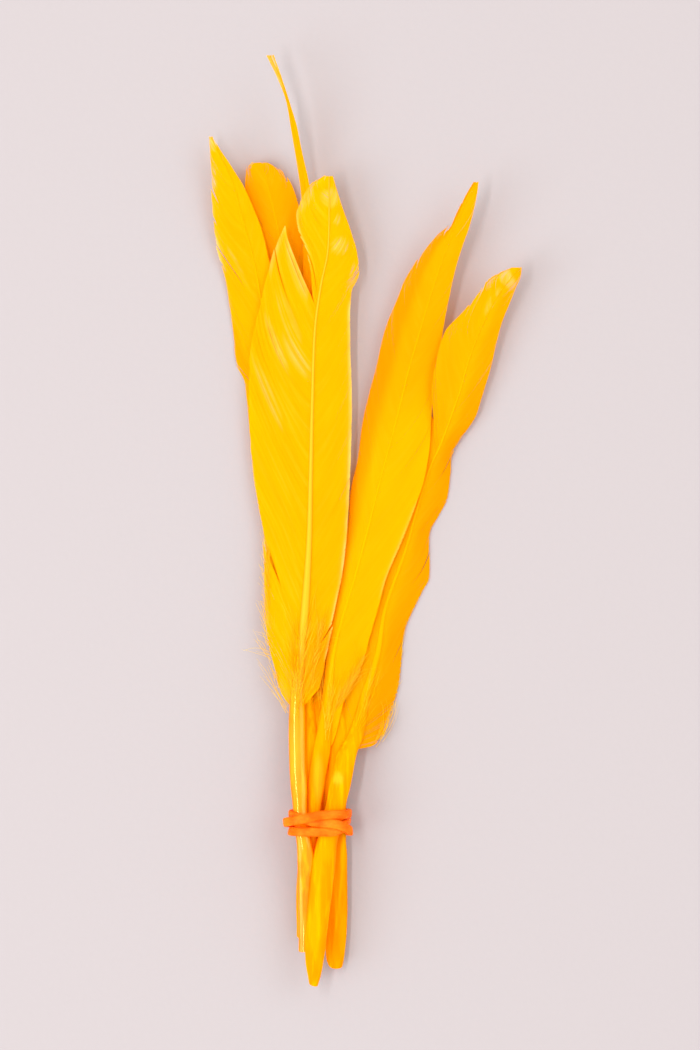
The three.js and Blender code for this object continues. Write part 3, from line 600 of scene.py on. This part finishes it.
def panels_of(name, feather):
    """The parts of a feather's vane: (side, edge, first root, last root, where the last barb ends)."""
    _, foot, tip = ends_of(feather)
    last = tip - TIP_MARGIN
    left, right = [(side, feather[side], foot, last, tip) for side in SIDES]
    if name not in PARTED_VANES:
        return [left, right]
    lower_edge, lower_last, lower_end, upper_edge, upper_first = PARTED_VANES[name]
    lower = ("left", lower_edge, foot, lower_last, lower_end)
    upper = ("left", upper_edge, upper_first, last, tip)
    return [lower, upper, right]


def barb_ends(feather, side, edge, roots, last_root, last_end, foot_angle):
    """Where along y each barb would meet the vane's edge. Near the tip that can lie beyond the tip."""
    tip = ends_of(feather)[-1]
    fine = np.arange(roots[0], tip + 30, WIDTH_STEP)
    shaft = curve_at(feather["shaft"], fine)
    border = curve_at(edge, fine)
    width = np.hypot(border[:, 0] - shaft[:, 0], border[:, 2] - shaft[:, 2])
    window = np.ones(WIDTH_WINDOW) / WIDTH_WINDOW
    even = np.convolve(np.pad(width, WIDTH_WINDOW // 2, mode="edge"), window, "valid")
    width = even + (width - even) * smooth(tip - 14, tip - 7, fine)
    angle = feather["angle"][SIDES.index(side)] * (1 - 0.5 * smooth(tip - 28, tip, roots))
    if foot_angle:
        angle = angle + (foot_angle - angle) * (1 - smooth(roots[0], roots[0] + FOOT_LENGTH, roots))
    steep = np.tan(np.radians(angle))[:, None]
    reached = (fine[None, :] - roots[:, None]) * steep >= np.maximum(width, 0.25)[None, :]
    advance = fine[reached.argmax(axis=1)] - roots
    if last_end < tip:
        needed = (last_end - last_root) / advance[-1]
        advance = advance * (1 + (needed - 1) * smooth(last_root - 25, last_root, roots))
    return np.maximum.accumulate(roots + advance)


def barb_roots(first, last):
    """Where along y the barbs grow from the shaft, closer together near the foot."""
    fine = np.arange(first, last - BARB_PITCH * 0.3, ROOT_STEP)
    crowd = 1 + FOOT_CROWD * (1 - smooth(first, first + FOOT_LENGTH, fine))
    number = np.cumsum(crowd) * ROOT_STEP / BARB_PITCH
    return np.interp(np.arange(number[0], number[-1]), number, fine)


def barb_lines(name, feather, panel, rng):
    """The centre lines of a panel's barbs, with what their looks depend on."""
    side, edge, first, last, end = panel
    _, foot, tip = ends_of(feather)
    at_foot = first == foot
    roots = barb_roots(first, last)
    roots = np.sort(roots + rng.uniform(-ROOT_JITTER, ROOT_JITTER, len(roots)))
    foot_angle = FOOT_ANGLES.get(name, {}).get(side, FOOT_ANGLE) if at_foot else 0
    ends = barb_ends(feather, side, edge, roots, last, end, foot_angle)
    f = np.linspace(0, 1, BARB_STATIONS)[None, :]
    near_start = 1 - smooth(first, first + FOOT_LENGTH, roots)
    near_end = smooth(last - 15, last, roots) * (0.2 if end == tip else 0.42)
    power = BARB_POWER + (0.5 if at_foot else 1.6) * near_start - near_end
    # A barb that would end beyond the tip stops at the tip.
    room = np.clip((end - END_MARGIN - roots) / (ends - roots), 0, 1)
    kept = room**(1 / power)
    for nicked, height, half, share in feather.get("nicks", []):
        if nicked == side:
            kept = kept - share * np.clip(1 - np.abs(ends - height) / half, 0, 1)
    share = f * kept[:, None]
    height = roots[:, None] + (ends - roots)[:, None] * share**power[:, None]
    return {
        "side": side, "roots": roots, "ends": ends, "f": f,
        "points": vane_point(feather, edge, height, share),
        "near_start": near_start if at_foot else np.zeros_like(roots),
    }


def frame_of(points):
    """For rows of neighbouring lines: the direction to the next line, the one away from the vane and the
    distance between lines."""
    along = unit(np.gradient(points, axis=1))
    apart = np.gradient(points, axis=0)
    across = apart - (apart * along).sum(-1, keepdims=True) * along
    gap = np.linalg.norm(across, axis=-1)
    across = unit(across)
    up = unit(np.cross(along, across))
    up = up * np.where(up[..., 2:] < 0, -1, 1)
    return across, up, gap


def fray_at(feather, lines, rng):
    """How frayed the barbs are at each point, each barb more or less than the next."""
    frayed = patches_at(feather.get("pale", []), lines["points"])
    single = rng.uniform(-1, 1, (len(lines["roots"]), 1))
    tufts = wobble(rng, lines["roots"], 0.7)[:, None]
    return np.clip(frayed * (0.5 + 0.3 * single + 0.45 * tufts), 0, 1)


def dye_at(feather, lines, frayed, rough, rng):
    """How pale the barbs are where worn, and how deep their orange is, from dye and from painted shade."""
    points, roots, f = lines["points"], lines["roots"], lines["f"]
    pale = frayed
    for side, low, high, strength in feather.get("rims", []):
        if side == lines["side"]:
            beyond_low = smooth(low - 3, low, points[..., 1])
            within = beyond_low * (1 - smooth(high, high + 3, points[..., 1]))
            pale = np.maximum(pale, strength * within * smooth(0.9, 0.97, f))
    # deep: the feather's base and its deep patches, partly dye and partly painted shade.
    deep = feather["base"] + patches_at(feather.get("deep", []), points)
    # Painted shade: more orange towards the edges listed under shade.
    for side, begin, full, amount in feather.get("shade", []):
        if side == lines["side"]:
            deep = deep + amount * smooth(begin, full, np.broadcast_to(f, deep.shape))
    deep = deep + 0.06 * wobble(rng, roots, 1.4)[:, None] * rough
    deep = deep + 0.05 * rng.uniform(-1, 1, (len(roots), 1)) * rough
    return pale, deep


def stray(lines, frayed, rough, across, up, rng):
    """The points of the barbs, moved a little so that the vane isn't even."""
    roots, f = lines["roots"], lines["f"]
    out = smooth(0.02, 0.4, f)
    lift = 0.09 * wobble(rng, roots, 6)[:, None] + 0.03 * wobble(rng, roots, 1.2)[:, None]
    lift = (lift * out + 0.04 * wobble(rng, roots, 9)[:, None] * np.sin(f * 9)) * rough
    sway = 0.16 * rough * wobble(rng, roots, 1.6)[:, None] * smooth(0.3, 1, f)
    jitter = frayed * rng.uniform(-1, 1, (len(roots), 1)) * 0.22
    return lines["points"] + up * (lift + jitter * 0.5)[..., None] + across * (sway + jitter)[..., None]


def open_splits(feather, lines, points, across, up):
    """Moves the barbs apart on either side of each place where the vane has come apart."""
    offset = np.zeros_like(points)
    for side, height, depth, gap in feather.get("splits", []):
        if side != lines["side"] or not lines["ends"][0] < height < lines["ends"][-1]:
            continue
        at = np.searchsorted(lines["ends"], height)
        from_split = np.arange(len(lines["roots"])) - at + 0.5
        reach = smooth(1 - depth, 1, lines["f"]) * np.exp(-np.abs(from_split) / 9)[:, None]
        offset += across * (np.sign(from_split)[:, None] * reach * gap / 2)[..., None]
        offset += up * (np.where(from_split > 0, 0.12, -0.06)[:, None] * reach)[..., None]
    return points + offset


def barbs(feather, lines, rng):
    """What strands() needs for a panel's barbs, and the values that the material uses."""
    f = lines["f"]
    rough = feather["rough"][SIDES.index(lines["side"])]
    across, up, gap = frame_of(lines["points"])
    gap = np.minimum(gap, BARB_PITCH * (1.35 + 1.6 * lines["near_start"][:, None]))
    frayed = fray_at(feather, lines, rng)
    pale, deep = dye_at(feather, lines, frayed, rough, rng)
    points = stray(lines, frayed, rough, across, up, rng)
    points = open_splits(feather, lines, points, across, up)
    half = gap / 2 * BARB_OVERLAP * (1 - 0.45 * frayed * smooth(0.3, 1, f))
    half = np.maximum(half * (1 - 0.12 * smooth(0.96, 1, f)), THINNEST_BARB)
    tilt = half * (0.14 + 0.14 * wobble(rng, lines["roots"], 2.2)[:, None]) * rough
    return points, across, up, half, tilt, pale, deep, np.full(half.shape, rough)


def vane(name, feather, material):
    rng = np.random.default_rng(feather["seed"])
    panels = [barb_lines(name, feather, panel, rng) for panel in panels_of(name, feather)]
    made = [np.concatenate(rows) for rows in zip(*[barbs(feather, lines, rng) for lines in panels])]
    centres, across, up, half, tilt = made[:5]
    rise = half * BARB_RISE + LEAST_RISE
    points, faces = strands(centres, across, up, half, rise, rise * 0.8, tilt)
    values = zip(("pale", "deep", "streak"), made[5:])
    values = {key: np.repeat(np.clip(value, 0, 1), 4, axis=1) for key, value in values}
    uv = strand_map(len(half), BARB_STATIONS)
    return mesh_object(f"{name}_vane", points, faces, material, values, uv, sharp_above=60)


# ---- shafts ----

BAND_CENTRE_Y = -57.4
SHAFT_SIDES = 20
SHAFT_STEP = 0.7
LAST_RING = 0.1             # from the shaft's last ring to the tip
HOLLOW_DEPTHS = np.array([4.0, 3.0, 1.5, 0.5, 0.0])    # of the rings inside the cut end
HOLLOW_SHARE = 0.74         # of the quill's radius
HOLLOW_FLOOR = 0.35         # radius of the innermost ring over the hollow's
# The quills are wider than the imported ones, which keep gaps between them: under the band and elsewhere.
QUILL_FILL_TIED = 0.1
QUILL_FILL = 0.34
# How far the quills at the back are pushed up between the front ones above the band.
QUILL_LIFT = {"far_left": 1.6, "back_blunt": 1.2, "back_curled": 1.3}
QUILL_SPREAD = 0.35         # by which those are wider there

# Painted highlights along the two front quills, where they catch the light, and a pale spot on the far
# right one, as (x, y, half width, half length, lean, strength) patches.
QUILL_HIGHLIGHTS_AND_SPOT = {
    "front_left": [(-13.2, -45, 1.2, 9, 0, 0.25)],
    "front_right": [(-8.9, -49, 1.3, 6, 0, 0.2)],
    "far_right": [(-5.2, -49, 1.3, 1.5, 0, 0.4)],
}
# where each face that closes an end lies on the map
CAP_CORNERS = [(0.001, 0.001), (0.002, 0.001), (0.002, 0.002), (0.001, 0.002)]


def flutes_at(rng, angle, heights):
    """How far the horn's wall stands out at each angle and height, as a share of its radius."""
    broad = 0.035 * np.cos(2 * angle + rng.uniform(0, 6))
    narrow = 0.02 * np.cos(5 * angle + rng.uniform(0, 6))
    flutes = (broad + narrow) * (1 + wobble(rng, heights, 9)[:, None])
    for period in (2.2, 5.5):
        size = 0.03 * wobble(rng, heights, period)[:, None]
        flutes = flutes + size * np.sin(angle + rng.uniform(0, 6))
    return flutes


def cap_faces(first):
    """Faces with four corners that close the ring of points whose first number is given."""
    return [[first, first + k, first + k + 1, first + k + 2] for k in range(1, SHAFT_SIDES - 2, 2)]


def shaft_points(name, feather, heights, is_inside, rng):
    """The rings of points of a shaft at the given heights, some of them inside its hollow end."""
    first, foot, _ = ends_of(feather)
    gloss = feather["gloss"]
    rows = curve_at(feather["shaft"], heights)
    pushed = smooth(-56, -50, heights) * (1 - smooth(-41, -33, heights)) * (name in QUILL_LIFT)
    rows[:, 2] += QUILL_LIFT.get(name, 0) * pushed
    from_band = np.abs(heights - BAND_CENTRE_Y)
    fill = QUILL_FILL_TIED + (QUILL_FILL - QUILL_FILL_TIED) * smooth(3, 7, from_band)
    fill = (fill * smooth(first - 1, first + 8, heights) + QUILL_SPREAD * pushed)[:, None]
    near_cut = (1 - smooth(first, first + 5, heights))[:, None]
    open_amount = smooth(foot - 3, foot + 12, heights)[:, None]
    relief = 1 - (1 - feather["relief"]) * smooth(foot - 2, foot + 26, heights)[:, None]
    flatter = gloss * (1 - open_amount)
    radius = rows[:, 3] * np.where(is_inside, HOLLOW_SHARE, 1.0)
    radius[0] *= HOLLOW_FLOOR
    radius, inside = radius[:, None], is_inside[:, None]
    angle = np.linspace(0, 2 * math.pi, SHAFT_SIDES, endpoint=False)[None, :]
    flutes = np.where(inside, 0, flutes_at(rng, angle, heights)) * (1 - 0.8 * gloss)
    wall = radius * (1 + flutes)
    wide = wall * (1.04 - 0.12 * open_amount) + fill * (1 - open_amount)
    x = rows[:, 0, None] + wide * (0.4 + 0.6 * relief) * np.cos(angle)
    top = wall * (0.84 - 0.19 * open_amount - 0.12 * flatter) * relief + 0.08 * open_amount
    below = wall * (0.94 - 0.2 * open_amount)
    height = np.abs(np.sin(angle))
    rise = np.where(np.sin(angle) > 0, top * height**(1 - 0.3 * flatter), -below * height)
    z = rows[:, 2, None] + rise
    slant = -0.5 * np.sin(angle + rng.uniform(-0.7, 0.7)) * near_cut
    y = heights[:, None] + slant * radius * np.where(inside, 1.3, 1.0)
    return np.stack([x, y, z], axis=-1)


def shaft(name, feather, material):
    """One closed tube: the wall outside from the cut end to the tip, and the inside of the hollow end."""
    rng = np.random.default_rng(feather["seed"] + 500)
    first, foot, tip = ends_of(feather)
    outside = np.arange(first, tip - TIP_MARGIN, SHAFT_STEP)
    heights = np.concatenate([first + HOLLOW_DEPTHS, outside, [tip - LAST_RING]])
    is_inside = np.arange(len(heights)) < len(HOLLOW_DEPTHS)
    points = shaft_points(name, feather, heights, is_inside, rng)
    rings = len(heights)
    sides = tube_faces(rings, SHAFT_SIDES)[:-SHAFT_SIDES]
    caps = [face[::-1] for face in cap_faces(0)] + cap_faces((rings - 1) * SHAFT_SIDES)
    maps = tube_map(np.linspace(0.002, 0.998, rings), SHAFT_SIDES)
    values = {
        "vane": np.repeat(smooth(foot - 2, foot + 20, heights), SHAFT_SIDES),
        # deep is the feather's base, partly dye and partly painted shade; pale marks painted highlights on
        # the front quills and a pale spot on the far right one.
        "deep": np.full(rings * SHAFT_SIDES, feather["base"]),
        "pale": patches_at(QUILL_HIGHLIGHTS_AND_SPOT.get(name, []), points),
    }
    return mesh_object(
        f"{name}_shaft", points.reshape(-1, 3), np.concatenate([sides, caps]), material, values,
        np.concatenate([maps, [CAP_CORNERS] * len(caps)]), sharp_above=50,
    )


# ---- down and loose barbs ----
# Each tuft is (start, end, number, lean, spread, length, curl, bend): the fibres grow from the line between
# the two [x, y, z] ends, at the lean in degrees from +Y towards -X, give or take the spread, and turn by
# the bend on their way.

TUFTS = {
    "front_left": [
        ((-13.1, -38, 5.7), (-12.8, -28, 5.7), 90, 4, 9, 8, 0.4, 0),
        ((-12.6, -36, 5.6), (-11.6, -20, 5.3), 60, -16, 6, 9, 0.4, 8),
        ((-13, -36, 5.5), (-12.4, -22, 5.3), 50, 17, 6, 10, 0.4, -8),
        ((-8.8, -36, 4.1), (-6.4, -14, 3.2), 90, 2, 6, 7, 0.4, 0),
        ((-16.4, -33, 4.2), (-18.4, -12, 3), 90, 6, 6, 4.5, 0.5, 8),
        ((-18.7, -5, 2.7), (-18.6, -24, 3.3), 110, 2, 7, 5, 0.5, 6),
        ((-17.7, -26.8, 4.2), (-18.3, -25.6, 4), 6, 56, 6, 5.5, 0.5, 0),
        ((-18, -23.4, 3.8), (-18.2, -22.4, 3.8), 5, 50, 7, 3.6, 0.5, 0),
        ((-14.6, -36.8, 4.9), (-15.8, -34, 4.5), 8, 32, 4, 8.6, 0.4, 0),
        ((-11, -36, 4.9), (-8.6, -20, 4.9), 120, -14, 9, 6, 0.8, 0),
    ],
    "far_left": [((-10.8, -36, 2.8), (-12, -24, 2.6), 60, 8, 18, 6, 0.8, 0)],
    "back_blunt": [((-8.4, -37, 2.9), (-9, -24, 2.4), 60, 4, 14, 6, 0.8, 0)],
    "back_curled": [((-5.2, -36, 3), (-6.4, -24, 2.6), 60, 4, 14, 6, 0.8, 0)],
    "front_right": [
        ((-7.6, -42, 6.2), (-6.9, -34, 5.8), 26, -12, 5, 9, 0.3, 0),
        ((-5.6, -36, 4.9), (-1.6, -28, 4.4), 90, -26, 8, 6, 0.6, 8),
    ],
    "far_right": [
        ((-2.4, -43, 5.4), (0, -34, 4), 60, -18, 6, 8, 0.4, 4),
        ((1.8, -42.5, 3.3), (3.2, -40.6, 2.2), 20, -42, 5, 8, 0.25, 50),
        ((2.8, -41.2, 2.4), (4.8, -36, 1), 30, -36, 6, 3.2, 0.4, 40),
        ((5.6, -34, 0.8), (7, -23, 0.6), 26, -8, 5, 3, 0.5, 6),
    ],
}
FIBRE_STATIONS = 8
FIBRE_RADIUS = 0.045
LOWEST_FIBRE = 0.12
SCATTER = np.array([0.25, 0.4, 0.12])       # of the fibres' roots along the axes


def tuft(rng, start, end, number, lean, spread, length, curl, bend):
    """The centre lines of a tuft's fibres."""
    at = rng.uniform(0, 1, (number, 1))
    begin = np.asarray(start) * (1 - at) + np.asarray(end) * at
    begin = begin + rng.normal(0, 1, (number, 3)) * SCATTER
    heading = np.radians(lean + spread * rng.normal(0, 0.7, (number, 1)))
    turn = np.radians(bend + rng.normal(0, 30, (number, 1)) * curl)
    wave = np.radians(rng.normal(0, 22, (number, FIBRE_STATIONS)) * curl)
    share = np.linspace(0, 1, FIBRE_STATIONS)[None, :]
    heading = heading + turn * share + np.cumsum(wave, axis=1) * 0.35
    step = length * rng.uniform(0.45, 1.15, (number, 1)) / (FIBRE_STATIONS - 1)
    climb = np.sin(np.radians(rng.normal(-4, 6, (number, 1)))) * step
    moves = [-np.sin(heading) * step, np.cos(heading) * step, np.broadcast_to(climb, heading.shape)]
    moves = np.stack(moves, axis=-1)
    moves[:, 0] = 0
    line = begin[:, None] + np.cumsum(moves, axis=1)
    line[..., 2] = np.maximum(line[..., 2], LOWEST_FIBRE)
    return line


def down(name, feather, material):
    rng = np.random.default_rng(feather["seed"] + 900)
    centres = np.concatenate([tuft(rng, *row) for row in TUFTS[name]])
    along = unit(np.gradient(centres, axis=1))
    side = unit(np.cross(along, (0, 0, 1)))
    up = np.cross(side, along)
    taper = np.linspace(1, 0.35, FIBRE_STATIONS)[None, :]
    half = FIBRE_RADIUS * taper * rng.uniform(0.6, 1.2, (len(centres), 1))
    points, faces = strands(centres, side, up, half, half * 0.7, half * 0.7)
    maps = strand_map(len(centres), FIBRE_STATIONS)
    return mesh_object(f"{name}_down", points, faces, material, None, maps)


# ---- the rubber band ----

BAND_WIDTH = 1.75
BAND_THICKNESS = 0.95
BAND_GAP = 0.06
BAND_STEPS = 90             # for one turn
BAND_SIDES = 12
BAND_ROUNDNESS = 0.55       # 1 for an oval section and 0 for a rectangle
BAND_SMOOTHING = 3
# Where the band's turns lie along the quills, from the highest to the lowest.
BAND_LANES = BAND_CENTRE_Y + np.array([1.6, 0, -1.6])
# The lane in which the strand goes on, for each one in which it comes: on top, and then at the right side.
AFTER_TOP = {0: 1, 1: 0, 2: 2}
AFTER_SIDE = {0: 0, 1: 2, 2: 1}
CROSSING_RISE = 0.95        # by which one strand passes over the other


def band_line(steps):
    """The line of a stretched band round the quills, as [x, z] points and directions out of the bunch,
    starting under the bunch."""
    quills = []
    for feather in FEATHERS.values():
        for y in BAND_CENTRE_Y + np.array([-2.4, 0, 2.4]):
            quills.append(curve_at(feather["shaft"], y))
    quills = np.array(quills)
    angle = np.radians(np.arange(270, -90, -1.5))
    out = np.stack([np.cos(angle), np.sin(angle)], axis=-1)
    reach = quills[:, 0] * out[:, :1] + quills[:, 2] * out[:, 1:] + quills[:, 3]
    outer = quills[reach.argmax(axis=1)]
    at = outer[:, [0, 2]] + out * (outer[:, 3:] + BAND_GAP + BAND_THICKNESS / 2)
    rows = np.concatenate([at, out], axis=1)
    rows = np.concatenate([rows, rows[:1]])
    along = np.concatenate([[0], np.cumsum(np.linalg.norm(np.diff(rows[:, :2], axis=0), axis=1))])
    even = np.linspace(0, along[-1], steps, endpoint=False)
    rows = np.stack([np.interp(even, along, column) for column in rows.T], axis=-1)
    return rows[:, :2], unit(rows[:, 2:])


def bump_at(share, middle, half):
    rising = smooth(middle - half, middle - half * 0.3, share)
    return rising * (1 - smooth(middle + half * 0.3, middle + half, share))


def band_turns(rng):
    """The middle of the band's strand in three turns, with the directions out of the bunch. On top the
    first two strands change places, and at the right side the last two do."""
    line, outward = band_line(BAND_STEPS)
    share = np.arange(BAND_STEPS) / BAND_STEPS
    lane = 0
    centres = []
    for _ in BAND_LANES:
        after_top = AFTER_TOP[lane]
        after_side = AFTER_SIDE[after_top]
        before, between, after = BAND_LANES[[lane, after_top, after_side]]
        y = before + (between - before) * smooth(0.35, 0.65, share)
        y = y + (after - between) * smooth(0.67, 0.79, share)
        lift = CROSSING_RISE * bump_at(share, 0.5, 0.22) * (lane == 1)
        lift = lift + CROSSING_RISE * bump_at(share, 0.73, 0.13) * (after_top == 1)
        lift = lift + 0.05 * (1 + wobble(rng, share, 0.13)) + 0.22 * (lane == 1)
        y = y + 0.08 * wobble(rng, share, 0.2)
        centres.append(np.insert(line + outward * lift[:, None], 1, y, axis=1))
        lane = after_side
    centres = np.concatenate(centres)
    for _ in range(BAND_SMOOTHING):
        centres = (np.roll(centres, 1, axis=0) + 2 * centres + np.roll(centres, -1, axis=0)) / 4
    return centres, np.tile(np.insert(outward, 1, 0, axis=1), (len(BAND_LANES), 1))


def rounded(wave, size):
    """One coordinate of the points round a rectangle with round corners."""
    return np.sign(wave) * np.abs(wave)**BAND_ROUNDNESS * size / 2


def rubber_band(material):
    """One closed loop, rolled a little about its own middle."""
    rng = np.random.default_rng(5)
    centres, outs = band_turns(rng)
    forward = unit(np.roll(centres, -1, axis=0) - np.roll(centres, 1, axis=0))
    side = unit(np.cross(outs, forward))
    outs = np.cross(forward, side)
    total = len(centres)
    number = np.arange(total)
    roll = (0.45 * wobble(rng, number, 24) * np.sin(math.pi * number / total))[:, None]
    angle = np.linspace(0, 2 * math.pi, BAND_SIDES, endpoint=False)
    wide = rounded(np.cos(angle), BAND_WIDTH)
    thick = rounded(np.sin(angle), BAND_THICKNESS)
    across = wide * np.cos(roll) - thick * np.sin(roll)
    away = wide * np.sin(roll) + thick * np.cos(roll)
    points = centres[:, None] + side[:, None] * across[..., None] + outs[:, None] * away[..., None]
    faces = tube_faces(total, BAND_SIDES)
    maps = tube_map(np.arange(total + 1) / total, BAND_SIDES)
    return mesh_object("rubber_band_strand", points.reshape(-1, 3), faces, material, None, maps)


# ---- camera, light and floor ----

MM_PER_PIXEL = 0.19
IMAGE_WIDTH, IMAGE_HEIGHT = 700, 1050
IMAGE_ORIGIN = (365.5, 520)     # the pixel over the frame's origin
CAMERA_HEIGHT = 1.2
FOCUS_HEIGHT = 0.004            # where a pixel is exactly MM_PER_PIXEL
SENSOR = 36.0
SIDE_COLOUR = (0.82, 0.95, 1.0)
STRIP_COLOUR = (0.95, 0.95, 0.94)
WORLD_COLOUR = (1, 0.92, 0.86, 1)
WORLD_STRENGTH = 1.33
FLOOR_HALF = 1500.0


def camera():
    data = bpy.data.cameras.new("camera")
    data.sensor_fit = "VERTICAL"
    data.sensor_height = SENSOR
    data.lens = SENSOR * (CAMERA_HEIGHT - FOCUS_HEIGHT) / (IMAGE_HEIGHT * MM_PER_PIXEL * MM)
    data.clip_start = 0.01
    data.clip_end = 10
    made = bpy.data.objects.new("camera", data)
    x = (IMAGE_WIDTH / 2 - IMAGE_ORIGIN[0]) * MM_PER_PIXEL * MM
    y = (IMAGE_ORIGIN[1] - IMAGE_HEIGHT / 2) * MM_PER_PIXEL * MM
    made.location = (x, y, CAMERA_HEIGHT)
    bpy.context.scene.collection.objects.link(made)
    bpy.context.scene.camera = made


def area_light(name, at, size, power, colour, across=None):
    """A round light, or one that is size long in y and the given width across."""
    data = bpy.data.lights.new(name, "AREA")
    data.shape = "RECTANGLE" if across else "DISK"
    data.size = size
    if across:
        data.size_y = across
    data.energy = power
    data.color = colour
    made = bpy.data.objects.new(name, data)
    made.location = at
    made.rotation_euler = (-Vector(at)).to_track_quat("-Z", "Y").to_euler()
    bpy.context.scene.collection.objects.link(made)


def lights():
    area_light("window", (-0.95, -0.40, 0.87), 0.90, 10.5, SIDE_COLOUR)
    area_light("fill", (0.80, 0.32, 1.12), 1.0, 7.0, SIDE_COLOUR)
    area_light("strip", (-0.36, 0.02, 1.15), 0.80, 6.5, STRIP_COLOUR, 0.05)
    world = bpy.data.worlds.new("studio")
    world.use_nodes = True
    background = world.node_tree.nodes["Background"]
    background.inputs["Color"].default_value = WORLD_COLOUR
    background.inputs["Strength"].default_value = WORLD_STRENGTH
    bpy.context.scene.world = world
    bpy.context.scene.view_settings.view_transform = "Standard"


def floor():
    corners = [(x * FLOOR_HALF, y * FLOOR_HALF, 0) for x, y in ((-1, -1), (1, -1), (1, 1), (-1, 1))]
    paper = mesh_object("paper", corners, [(0, 1, 2, 3)], paper_material())


# ---- the bunch ----

def stand_for(piece, replaced):
    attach(piece, "root")
    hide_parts(replaced)


down_fibre = down_material("down")
for feather_name, feather in FEATHERS.items():
    pieces = [
        vane(feather_name, feather, vane_material(f"vane_{feather_name}")),
        shaft(feather_name, feather, shaft_material(f"shaft_{feather_name}", feather["gloss"])),
        down(feather_name, feather, down_fibre),
    ]
    for piece in pieces:
        stand_for(piece, f"feather_{feather_name}")

stand_for(rubber_band(rubber_material()), "rubber_band")

camera()
lights()
floor()
